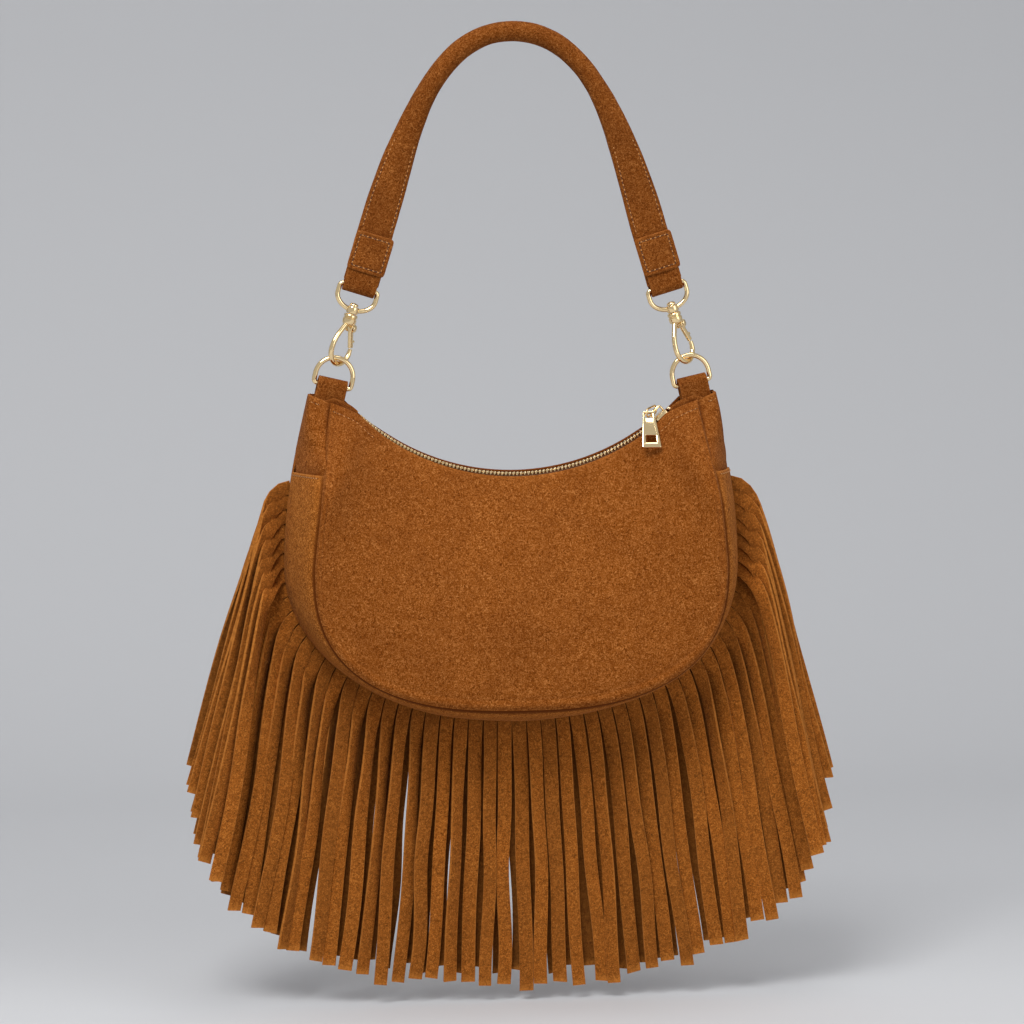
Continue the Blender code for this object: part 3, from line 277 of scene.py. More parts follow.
def turned_bmesh(profile: Sequence[tuple[float, float]], steps: int = 40) -> bmesh.types.BMesh:
    """Turn a profile of radius and height about Z.

    Args:
        profile: Radius and height of each point. One that starts and ends on the axis gives a
            solid, and one that ends where it starts gives a ring.
        steps: Faces round the axis.

    Returns:
        The closed turned piece.
    """
    bm = bmesh.new()
    bm.loops.layers.uv.new("UVMap")
    bm.verts.layers.float.new("rim")
    verts = [bm.verts.new((radius, 0.0, height)) for radius, height in profile]
    edges = [bm.edges.new(pair) for pair in zip(verts, verts[1:])]
    bmesh.ops.spin(bm, geom=verts + edges, cent=(0, 0, 0), axis=(0, 0, 1),
                   angle=2.0 * math.pi, steps=steps, use_merge=True)
    bmesh.ops.remove_doubles(bm, verts=bm.verts, dist=CLOSE)
    bmesh.ops.recalc_face_normals(bm, faces=bm.faces)
    return bm


def barrel(radius: float, low: float, high: float, edge: float) -> list[tuple[float, float]]:
    """Return a turned cylinder's profile with rounded edges, from its top to its foot."""
    corner = [(radius - edge * (1.0 - math.cos(t)), edge * (math.sin(t) - 1.0))
              for t in (math.pi / 2, math.pi / 3, math.pi / 6, 0.0)]
    top = [(x, high + z) for x, z in corner]
    foot = [(x, low - z) for x, z in reversed(corner)]
    return [(0.0, high)] + top + foot + [(0.0, low)]


def block_bmesh(size: Sequence[float], place: Matrix, edge: float, segments: int = 2
                ) -> bmesh.types.BMesh:
    """Return a block with rounded edges.

    Args:
        size: Along X, Y and Z.
        place: Where its middle goes.
        edge: Width of the bevel.
        segments: Parts of the bevel.

    Returns:
        The block.
    """
    bm = bmesh.new()
    bm.loops.layers.uv.new("UVMap")
    bm.verts.layers.float.new("rim")
    bmesh.ops.create_cube(bm, size=1.0, matrix=Matrix.Diagonal((*size, 1.0)), calc_uvs=True)
    bmesh.ops.bevel(bm, geom=bm.edges[:], offset=edge, segments=segments, profile=0.5,
                    affect="EDGES", material=-1)
    bm.transform(place)
    return bm


@dataclass
class Dresser:
    """Turns meshes into finished pieces that ride on the frame's bodies."""

    made: list[str] = field(default_factory=list)

    def add(self, name: str, bm: bmesh.types.BMesh, finish: bpy.types.Material, body: str,
            slot: Slot | None = None, nodes: Sequence[str] = ()) -> bpy.types.Object:
        """Add a piece to the scene.

        Args:
            name: The piece's name.
            bm: Its mesh, which is used up.
            finish: Its material.
            body: The body it moves with.
            slot: The record's slot; not used.
            nodes: The frame's nodes that it stands for.

        Returns:
            The piece.
        """
        mesh = bpy.data.meshes.new(name)
        bm.to_mesh(mesh)
        bm.free()
        mesh.shade_smooth()
        mesh.set_sharp_from_angle(angle=SHARP)
        mesh.materials.append(finish)
        piece = bpy.data.objects.new(name, mesh)
        bpy.context.scene.collection.objects.link(piece)
        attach(piece, body)
        if nodes:
            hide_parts(*nodes)
        self.made.append(name)
        LOG.info("%s: %d faces on %s", name, len(mesh.polygons), body)
        return piece

    def thicken(self, piece: bpy.types.Object, thickness: float, edge: float) -> None:
        """Give an open surface its wall, half on each side, with soft edges.

        Args:
            piece: The piece.
            thickness: Of the wall.
            edge: Width of the rounding of its cut edges, or 0 for none.
        """
        wall = piece.modifiers.new("wall", "SOLIDIFY")
        wall.thickness = thickness
        wall.offset = 0.0
        if edge > 0.0:
            soft = piece.modifiers.new("soft_edges", "BEVEL")
            soft.width = edge
            soft.segments = 2
            soft.limit_method = "ANGLE"
            soft.angle_limit = math.radians(50.0)


# Finishes

class Board:
    """A node tree with short calls to add and join nodes."""

    def __init__(self, tree: bpy.types.NodeTree) -> None:
        """Keep the tree."""
        self.tree = tree

    def add(self, kind: str, inputs: dict | None = None, **settings: object) -> bpy.types.Node:
        """Add a node.

        Args:
            kind: The node's type.
            inputs: Values or sockets for its inputs, by name or number.
            **settings: The node's own properties.

        Returns:
            The node.
        """
        node = self.tree.nodes.new(kind)
        for name, value in settings.items():
            setattr(node, name, value)
        for name, value in (inputs or {}).items():
            if isinstance(value, bpy.types.NodeSocket):
                self.tree.links.new(value, node.inputs[name])
            else:
                node.inputs[name].default_value = value
        return node

    def noise(self, place: bpy.types.NodeSocket, scale: object, detail: float, rough: float,
              distortion: float) -> bpy.types.NodeSocket:
        """Return the value of a noise texture at a place."""
        node = self.add("ShaderNodeTexNoise", {
            "Vector": place, "Scale": scale, "Detail": detail, "Roughness": rough,
            "Distortion": distortion})
        return node.outputs[0]

    def spread(self, value: bpy.types.NodeSocket, low: float, high: float, start: float = 0.0,
               end: float = 1.0) -> bpy.types.NodeSocket:
        """Return a value stretched from low and high to start and end, and held there."""
        node = self.add("ShaderNodeMapRange", {
            "Value": value, "From Min": low, "From Max": high, "To Min": start, "To Max": end})
        return node.outputs[0]

    def math(self, operation: str, first: object, second: object) -> bpy.types.NodeSocket:
        """Return the result of one sum."""
        node = self.add("ShaderNodeMath", {0: first, 1: second}, operation=operation)
        return node.outputs[0]

    def mix(self, share: object, first: object, second: object, mode: str = "MIX"
            ) -> bpy.types.NodeSocket:
        """Return a mix of two colours."""
        node = self.add("ShaderNodeMix", {0: share, 6: first, 7: second}, data_type="RGBA",
                        blend_type=mode)
        return node.outputs[2]


def rgba(colour: Colour) -> tuple[float, float, float, float]:
    """Return a colour as the sockets take it."""
    return (*colour, 1.0)


class Effects:
    """Shader groups that more than one finish uses."""

    def __init__(self) -> None:
        """Build each group once."""
        self.nap = self.build_nap()
        self.wear_and_highlight = self.build_wear_and_highlight()

    @staticmethod
    def new_group(name: str, inputs: dict[str, str], outputs: dict[str, str]
                  ) -> tuple[bpy.types.NodeTree, Board, bpy.types.Node, bpy.types.Node]:
        """Start a group with named sockets.

        Args:
            name: The group's name.
            inputs: Socket types by name.
            outputs: Socket types by name.

        Returns:
            The tree, its board, and its input and output nodes.
        """
        tree = bpy.data.node_groups.new(name, "ShaderNodeTree")
        for label, kind in inputs.items():
            tree.interface.new_socket(label, in_out="INPUT", socket_type=kind)
        for label, kind in outputs.items():
            tree.interface.new_socket(label, in_out="OUTPUT", socket_type=kind)
        board = Board(tree)
        return tree, board, board.add("NodeGroupInput"), board.add("NodeGroupOutput")

    def build_nap(self) -> bpy.types.NodeTree:
        """Return the brushed nap of suede: short curls, fine fibres and soft patches."""
        tree, board, given, made = self.new_group(
            "suede_nap",
            {"Place": "NodeSocketVector", "Curl Scale": "NodeSocketFloat",
             "Patch Scale": "NodeSocketFloat"},
            {"Tone": "NodeSocketFloat", "Patches": "NodeSocketFloat",
             "Height": "NodeSocketFloat"})
        place = given.outputs["Place"]
        scale = given.outputs["Curl Scale"]
        fine_scale = board.math("MULTIPLY", scale, 2.7)
        curls = board.spread(board.noise(place, scale, 3.0, 0.62, 2.2), 0.34, 0.66)
        fibres = board.spread(board.noise(place, fine_scale, 2.0, 0.7, 0.6), 0.3, 0.7)
        mixed = board.math("ADD", board.math("MULTIPLY", curls, 0.6),
                           board.math("MULTIPLY", fibres, 0.4))
        wide = board.noise(place, given.outputs["Patch Scale"], 3.0, 0.6, 0.8)
        patches = board.spread(wide, 0.32, 0.68)
        board.tree.links.new(mixed, made.inputs["Tone"])
        board.tree.links.new(patches, made.inputs["Patches"])
        board.tree.links.new(mixed, made.inputs["Height"])
        return tree

    def build_wear_and_highlight(self) -> bpy.types.NodeTree:
        """Return the broken-up mask of a cut or rubbed edge, and of a painted highlight on a turned
        edge.
        """
        tree, board, given, made = self.new_group(
            "edge_wear_and_highlight",
            {"Place": "NodeSocketVector", "Edge": "NodeSocketFloat",
             "Scale": "NodeSocketFloat"},
            {"Mask": "NodeSocketFloat"})
        broken = board.spread(board.noise(given.outputs["Place"], given.outputs["Scale"], 2.0,
                                          0.6, 0.5), 0.3, 0.7, 0.45, 1.0)
        mask = board.math("MULTIPLY", given.outputs["Edge"], broken)
        board.tree.links.new(mask, made.inputs["Mask"])
        return tree


@dataclass(frozen=True)
class SuedeFinish:
    """Brushed suede."""

    name: str
    # deep is the darkest nap colour, and also the colour that painted shade darkens towards.
    deep: Colour
    body: Colour
    light: Colour
    # cut is the colour of rubbed and cut edges, and of painted highlights on turned edges.
    cut: Colour
    curl_scale: float = 520.0
    patch_scale: float = 26.0
    patch_strength: float = 0.5
    # How far the rim mark moves towards cut: rubbed edges and painted highlights.
    wear_and_highlight: float = 0.6
    relief: float = 0.45
    sheen: float = 0.03

    def material(self, effects: Effects) -> bpy.types.Material:
        """Build the material.

        Args:
            effects: The shared groups.

        Returns:
            The material.
        """
        material = bpy.data.materials.new(self.name)
        material.use_nodes = True
        board = Board(material.node_tree)
        shader = material.node_tree.nodes["Principled BSDF"]
        place = board.add("ShaderNodeTexCoord").outputs["Object"]
        nap = board.add("ShaderNodeGroup", node_tree=effects.nap)
        wear_and_highlight = board.add("ShaderNodeGroup", node_tree=effects.wear_and_highlight)
        for group in (nap, wear_and_highlight):
            board.tree.links.new(place, group.inputs["Place"])
        nap.inputs["Curl Scale"].default_value = self.curl_scale
        nap.inputs["Patch Scale"].default_value = self.patch_scale
        wear_and_highlight.inputs["Scale"].default_value = self.curl_scale
        mark = board.add("ShaderNodeAttribute", attribute_name="rim")
        board.tree.links.new(mark.outputs["Fac"], wear_and_highlight.inputs["Edge"])
        tone = nap.outputs["Tone"]
        dark_half = board.mix(board.spread(tone, 0.1, 0.52), rgba(self.deep), rgba(self.body))
        nap_colour = board.mix(board.spread(tone, 0.52, 0.95), dark_half, rgba(self.light))
        patch = board.spread(nap.outputs["Patches"], 0.0, 1.0, self.patch_strength, 0.0)
        shaded = board.mix(patch, nap_colour, rgba(self.deep))
        # Painted shade: the shade mark darkens towards deep in seams and recesses; on the fringe it
        # also carries each strand's own tone.
        strand = board.add("ShaderNodeAttribute", attribute_name="shade")
        with_tone_and_painted_shade = board.mix(strand.outputs["Fac"], shaded, rgba(self.deep))
        # The rim mark lightens rubbed and cut edges, and paints highlights on turned edges and
        # seams.
        with_edges_and_highlights = board.mix(board.math("MULTIPLY", wear_and_highlight.outputs["Mask"], self.wear_and_highlight), with_tone_and_painted_shade,
                         rgba(self.cut))
        board.tree.links.new(with_edges_and_highlights, shader.inputs["Base Color"])
        board.tree.links.new(board.spread(tone, 0.0, 1.0, 1.0, 0.86),
                             shader.inputs["Roughness"])
        relief = board.add("ShaderNodeBump", {
            "Height": nap.outputs["Height"], "Strength": self.relief, "Distance": 0.4 * MM})
        board.tree.links.new(relief.outputs["Normal"], shader.inputs["Normal"])
        shader.inputs["Specular IOR Level"].default_value = 0.08
        shader.inputs["Sheen Weight"].default_value = self.sheen
        shader.inputs["Sheen Roughness"].default_value = 0.45
        shader.inputs["Sheen Tint"].default_value = rgba((1.0, 0.72, 0.45))
        return material


@dataclass(frozen=True)
class GoldFinish:
    """Polished pale gold, with faint handling marks."""

    name: str = "pale_gold_polish"
    tint: Colour = (0.95, 0.72, 0.40)
    dull: Colour = (0.90, 0.68, 0.36)
    gloss: float = 0.07
    marks: float = 0.18

    def material(self) -> bpy.types.Material:
        """Build the material."""
        material = bpy.data.materials.new(self.name)
        material.use_nodes = True
        board = Board(material.node_tree)
        shader = material.node_tree.nodes["Principled BSDF"]
        place = board.add("ShaderNodeTexCoord").outputs["Object"]
        smears = board.spread(board.noise(place, 180.0, 4.0, 0.6, 0.4), 0.35, 0.7)
        board.tree.links.new(board.mix(smears, rgba(self.tint), rgba(self.dull)),
                             shader.inputs["Base Color"])
        board.tree.links.new(board.spread(smears, 0.0, 1.0, self.gloss, self.marks),
                             shader.inputs["Roughness"])
        ripple = board.add("ShaderNodeBump", {
            "Height": board.noise(place, 420.0, 2.0, 0.5, 0.0), "Strength": 0.06,
            "Distance": 0.1 * MM})
        board.tree.links.new(ripple.outputs["Normal"], shader.inputs["Normal"])
        shader.inputs["Metallic"].default_value = 1.0
        return material


@dataclass(frozen=True)
class ThreadFinish:
    """Twisted sewing thread, or the shadow of its holes."""

    name: str
    pale: Colour
    dark: Colour
    ply_scale: float = 1900.0

    def material(self) -> bpy.types.Material:
        """Build the material."""
        material = bpy.data.materials.new(self.name)
        material.use_nodes = True
        board = Board(material.node_tree)
        shader = material.node_tree.nodes["Principled BSDF"]
        place = board.add("ShaderNodeTexCoord").outputs["Object"]
        twist = board.add("ShaderNodeTexWave", {
            "Vector": place, "Scale": self.ply_scale, "Distortion": 1.5, "Detail": 1.0},
            wave_type="BANDS", bands_direction="DIAGONAL")
        ply = twist.outputs["Fac"]
        board.tree.links.new(board.mix(ply, rgba(self.dark), rgba(self.pale)),
                             shader.inputs["Base Color"])
        relief = board.add("ShaderNodeBump", {"Height": ply, "Strength": 0.4,
                                              "Distance": 0.1 * MM})
        board.tree.links.new(relief.outputs["Normal"], shader.inputs["Normal"])
        board.tree.links.new(board.spread(ply, 0.0, 1.0, 0.8, 0.6),
                             shader.inputs["Roughness"])
        return material


@dataclass(frozen=True)
class TapeFinish:
    """The zip's woven tape, with its herringbone along the UV map."""

    name: str = "zip_tape_weave"
    warp: Colour = (0.20, 0.075, 0.022)
    weft: Colour = (0.10, 0.034, 0.011)
    yarns_along: float = 300.0
    yarns_across: float = 12.0

    def material(self) -> bpy.types.Material:
        """Build the material."""
        material = bpy.data.materials.new(self.name)
        material.use_nodes = True
        board = Board(material.node_tree)
        shader = material.node_tree.nodes["Principled BSDF"]
        place = board.add("ShaderNodeTexCoord").outputs["UV"]
        scaled = board.add("ShaderNodeMapping", {
            "Vector": place, "Scale": (self.yarns_along, self.yarns_across, 1.0)})
        bands = [board.add("ShaderNodeTexWave", {
            "Vector": scaled.outputs["Vector"], "Scale": 0.5, "Distortion": 0.6},
            wave_type="BANDS", bands_direction=way).outputs["Fac"] for way in ("X", "Y")]
        weave = board.math("MULTIPLY", bands[0], bands[1])
        board.tree.links.new(board.mix(board.spread(weave, 0.1, 0.7), rgba(self.weft),
                                       rgba(self.warp)), shader.inputs["Base Color"])
        relief = board.add("ShaderNodeBump", {"Height": weave, "Strength": 0.5,
                                              "Distance": 0.2 * MM})
        board.tree.links.new(relief.outputs["Normal"], shader.inputs["Normal"])
        board.tree.links.new(board.spread(weave, 0.0, 1.0, 0.95, 0.75),
                             shader.inputs["Roughness"])
        return material


class Palette:
    """Every material of the bag, built once."""

    def __init__(self) -> None:
        """Build the materials."""
        effects = Effects()
        self.panel = SuedeFinish(
            "panel_suede", (0.088, 0.018, 0.0012), (0.238, 0.065, 0.0066),
            (0.500, 0.195, 0.050), (0.34, 0.112, 0.020), patch_strength=0.24
        ).material(effects)
        self.band = SuedeFinish(
            "band_suede", (0.100, 0.022, 0.0014), (0.315, 0.094, 0.0100),
            (0.680, 0.265, 0.056), (0.46, 0.170, 0.036), patch_strength=0.2).material(effects)
        self.handle = SuedeFinish(
            "handle_nap", (0.078, 0.017, 0.0014), (0.205, 0.055, 0.0058),
            (0.430, 0.165, 0.040), (0.33, 0.110, 0.022), patch_strength=0.36
        ).material(effects)
        # The fringe's deep colour is near black, so that painted shade turns the gaps between
        # strands black.
        self.fringe = SuedeFinish(
            "fringe_nap", (0.024, 0.005, 0.0003), (0.246, 0.059, 0.0032),
            (0.590, 0.205, 0.034), (0.54, 0.200, 0.036), patch_strength=0.18, wear_and_highlight=0.75,
            patch_scale=34.0).material(effects)
        self.gold = GoldFinish().material()
        self.thread = ThreadFinish("tan_thread", (0.66, 0.31, 0.085), (0.34, 0.13, 0.03)
                                   ).material()
        # Painted shade: dark beads stand for the shadow inside each needle hole.
        self.hole = ThreadFinish("needle_hole_shadow", (0.060, 0.018, 0.005), (0.030, 0.010, 0.003)
                                 ).material()
        self.tape = TapeFinish().material()


# The frame's own sizes, in metres

@dataclass
class BagShape:
    """The bag's outline and depth, as the frame has them."""

    zip_radius: float = 142.0 * MM
    zip_bottom_z: float = -265.0 * MM
    front_arc_x: float = 96.0 * MM
    back_arc_x: float = 105.0 * MM
    corner_x: float = 126.0 * MM
    corner_z: float = -215.3 * MM
    widest_z: float = -320.0 * MM
    front_top_x: float = 113.5 * MM
    front_half_width: float = 126.8 * MM
    front_depth_z: float = 87.0 * MM
    front_power: float = 2.6
    front_rounding: float = 0.35
    back_half_width: float = 141.0 * MM
    back_depth_z: float = 99.0 * MM
    back_power: float = 2.05
    side_seam_z: float = -263.0 * MM
    panel_wall: float = 1.8 * MM
    zip_half_opening: float = 4.9 * MM
    pocket_ease: float = 2.9 * MM
    seam_ease: float = 0.7 * MM
    side_ease: float = 1.8 * MM
    gap: float = 0.3 * MM
    front_y: float = -41.2 * MM
    back_y: float = 5.3 * MM
    full_depth_z: float = -288.0 * MM
    fringe_wall: float = 1.6 * MM
    samples: int = 400

    def arc_z(self, x: float) -> float:
        """Return the height of the zip's arc at x."""
        return self.zip_bottom_z + self.zip_radius - math.sqrt(self.zip_radius ** 2 - x ** 2)

    def front_edge_z(self, x: float) -> float:
        """Return the height of the front top edge at x."""
        reach = abs(x)
        if reach <= self.front_arc_x:
            return self.arc_z(reach)
        share = (reach - self.front_arc_x) / (self.corner_x - self.front_arc_x)
        return blend(self.arc_z(self.front_arc_x), self.corner_z, share)

    def back_edge_z(self, x: float) -> float:
        """Return the height of the back top edge at x."""
        reach = abs(x)
        if reach <= self.back_arc_x:
            return self.arc_z(reach)
        share = (reach - self.back_arc_x) / (self.corner_x - self.back_arc_x)
        return blend(self.arc_z(self.back_arc_x), self.corner_z, math.sin(share * math.pi / 2))

    def half_seam(self, top: tuple[float, float], half_width: float, depth: float,
                  power: float, rounding: float) -> Line:
        """Return the right half of a seam, from its top corner down to the middle.

        Args:
            top: The corner's x and height.
            half_width: Where the seam is widest.
            depth: From there down to the seam's lowest point.
            power: Of the rounded lower part.
            rounding: From 0 for a straight upper part to 1 for a curved one.

        Returns:
            The half seam, as points of x and height.
        """
        points = []
        for index in range(self.samples):
            share = index / self.samples
            out = blend(share, math.sin(share * math.pi / 2), rounding)
            points.append((blend(top[0], half_width, out), blend(top[1], self.widest_z, share)))
        for index in range(self.samples + 1):
            angle = index / self.samples * math.pi / 2
            x = half_width * max(math.cos(angle), 0.0) ** (2 / power)
            points.append((x, self.widest_z - depth * math.sin(angle) ** (2 / power)))
        return Line(points)

    @cached_property
    def front_half(self) -> Line:
        """The right half of the front panel's seam."""
        top = (self.front_top_x, self.front_edge_z(self.front_top_x))
        return self.half_seam(top, self.front_half_width, self.front_depth_z,
                              self.front_power, self.front_rounding)

    @cached_property
    def back_half(self) -> Line:
        """The right half of the back panel's seam."""
        return self.half_seam((self.corner_x, self.corner_z), self.back_half_width,
                              self.back_depth_z, self.back_power, 1.0)

    @staticmethod
    def whole(half: Line) -> Line:
        """Return a seam from the left corner, round the bottom, to the right corner."""
        left = [Vector((-point.x, point.y)) for point in half.points]
        return Line(left + list(reversed(half.points))[1:])

    @cached_property
    def front_seam(self) -> Line:
        """The whole front seam."""
        return self.whole(self.front_half)

    @cached_property
    def back_seam(self) -> Line:
        """The whole back seam."""
        return self.whole(self.back_half)

    @property
    def fringe_stack(self) -> float:
        """The depth that the two fringe headers take in the back seam."""
        return self.seam_ease + 2 * self.fringe_wall + 2 * self.gap

    @property
    def panel_y(self) -> float:
        """Distance from Y = 0 of the middle of either panel at the zip."""
        return self.zip_half_opening + self.panel_wall / 2

    def depth_share(self, z: float) -> float:
        """Return how much of its full depth the bag has at a height."""
        return smoothstep(-z, -self.corner_z, -self.full_depth_z)

    def front_seam_y(self, z: float) -> float:
        """Return Y of the middle of the front panel at its seam."""
        return blend(-self.panel_y - self.pocket_ease, self.front_y, self.depth_share(z))

    def back_seam_y(self, z: float) -> float:
        """Return Y of the rear edge of the gusset."""
        at_corner = self.panel_y - self.panel_wall / 2 - self.fringe_stack
        return blend(at_corner, self.back_y, self.depth_share(z))

    def back_panel_y(self, z: float) -> float:
        """Return Y of the middle of the back panel at its seam."""
        return self.back_seam_y(z) + self.fringe_stack + self.panel_wall / 2

    def gusset_front_y(self, z: float) -> float:
        """Return Y of the gusset's front edge."""
        return self.front_seam_y(z) + self.panel_wall / 2 + self.seam_ease

    def zip_point(self, angle: float, rise: float, y: float) -> Vector:
        """Return a point at an angle along the zip, at a rise above its line."""
        radius = self.zip_radius - rise
        centre = self.zip_bottom_z + self.zip_radius
        return Vector((radius * math.sin(angle), y, centre - radius * math.cos(angle)))

    def zip_frame(self, angle: float) -> Matrix:
        """Return the frame of the zip at an angle, with X along it and Z to its open side."""
        place = self.zip_point(angle, 0.0, 0.0)
        return Matrix.Translation(place) @ Matrix.Rotation(-angle, 4, "Y")


@dataclass
class SideFrames:
    """Places of the fittings at both sides."""

    fold_x: float = 96.5 * MM
    fold_z: float = -154.0 * MM
    tilt: float = math.radians(17.0)
    strap_inner: float = 2.45 * MM
    strap_wall: float = 1.8 * MM
    loop_drop: float = 14.5 * MM
    hook_yaw: float = math.radians(45.0)
    ring_top_drop: float = 30.55 * MM
    ring_tilt: float = math.radians(13.0)
    ring_radius: float = 11.6 * MM
    ring_bar_drop: float = 5.7 * MM

    def bar(self, side: Side) -> Matrix:
        """Return the frame at the bar of the swivel loop."""
        turn = Matrix.Rotation(-side.value * self.tilt, 4, "Y")
        fold = Vector((side.value * self.fold_x, 0.0, self.fold_z))
        return Matrix.Translation(
            fold + turn @ Vector((0.0, 0.0, self.strap_inner + self.strap_wall))) @ turn

    def hub(self, side: Side) -> Matrix:
        """Return the frame at the middle of the loop's hub."""
        return self.bar(side) @ Matrix.Translation((0.0, 0.0, -self.loop_drop))

    def hook(self, side: Side) -> Matrix:
        """Return the frame of the hook, turned about its stem."""
        return self.hub(side) @ Matrix.Rotation(self.hook_yaw, 4, "Z")

    def ring(self, side: Side) -> Matrix:
        """Return the frame at the centre of the ring's round part."""
        top = self.hub(side) @ Vector((0.0, 0.0, -self.ring_top_drop))
        turn = Matrix.Rotation(-side.value * self.ring_tilt, 4, "Y")
        return Matrix.Translation(top) @ turn @ Matrix.Translation((0, 0, -self.ring_radius))

    def ring_bar(self, side: Side) -> Matrix:
        """Return the frame at the middle of the ring's straight bar."""
        return self.ring(side) @ Matrix.Translation((0.0, 0.0, -self.ring_bar_drop))


@dataclass
class Stitcher:
    """Lays rows of hand-length stitches on suede."""

    palette: Palette
    dresser: Dresser
    stitch_length: float = 1.5 * MM
    thread: float = 0.74 * MM
    pitch: float = 3.0 * MM
    hole: float = 0.95 * MM

    def bead(self, place: Vector, along: Vector, outward: Vector,
             size: tuple[float, float, float]) -> bmesh.types.BMesh:
        """Return one rounded stitch.

        Args:
            place: Its middle.
            along: The row's direction there.
            outward: The surface's direction there.
            size: Along, across and through.

        Returns:
            The stitch.
        """
        bm = bmesh.new()
        bm.verts.layers.float.new("rim")
        bmesh.ops.create_uvsphere(bm, u_segments=8, v_segments=5, radius=0.5)
        x_axis = along.normalized()
        z_axis = (outward - x_axis * outward.dot(x_axis)).normalized()
        y_axis = z_axis.cross(x_axis)
        turn = Matrix((x_axis, y_axis, z_axis)).transposed().to_4x4()
        bm.transform(Matrix.Translation(place) @ turn @ Matrix.Diagonal((*size, 1.0)))
        return bm

    def row(self, stitches: bmesh.types.BMesh, holes: bmesh.types.BMesh, line: Line,
            outward: Callable[[Vector], Vector], pitch: float | None = None) -> None:
        """Lay one row along a line on the surface.

        Args:
            stitches: The mesh that takes the thread.
            holes: The mesh that takes dark beads, the painted shadow of the needle holes.
            line: The row's line of three numbers.
            outward: Gives the surface's direction at a point.
            pitch: From stitch to stitch, or None for the usual one.
        """
        count = max(2, round(line.length / (pitch or self.pitch)))
        step = line.length / count
        for index in range(count):
            middle = step * (index + 0.5)
            place, along = line.at(middle), line.tangent(middle)
            out = outward(place)
            length = min(self.stitch_length, step * 0.62)
            join_bmesh(stitches, self.bead(place + out * 0.12 * MM, along, out,
                                           (length, self.thread, self.thread * 0.8)))
            # Dark beads at both ends of each stitch paint the shadow inside its needle holes.
            for end in (-0.5, 0.5):
                spot = line.at(middle + end * (length + 0.5 * MM))
                join_bmesh(holes, self.bead(spot, along, out,
                                            (self.hole, self.hole * 0.85, 0.3 * MM)))

    def finish(self, name: str, stitches: bmesh.types.BMesh, holes: bmesh.types.BMesh,
               body: str) -> None:
        """Add a sewn row's thread and the painted shadow of its holes to the scene."""
        self.dresser.add(name, stitches, self.palette.thread, body)
        self.dresser.add(name + "_holes", holes, self.palette.hole, body)


def new_pair() -> tuple[bmesh.types.BMesh, bmesh.types.BMesh]:
    """Return two empty meshes, for thread and for the painted shadow of its holes."""
    return bmesh.new(), bmesh.new()


def softness(place: Vector, size: float, seed: float = 0.0) -> float:
    """Return a smooth wander between about -1 and 1, with waves of a given size."""
    return noise.noise(place / size + Vector((seed, seed * 0.7, -seed)))


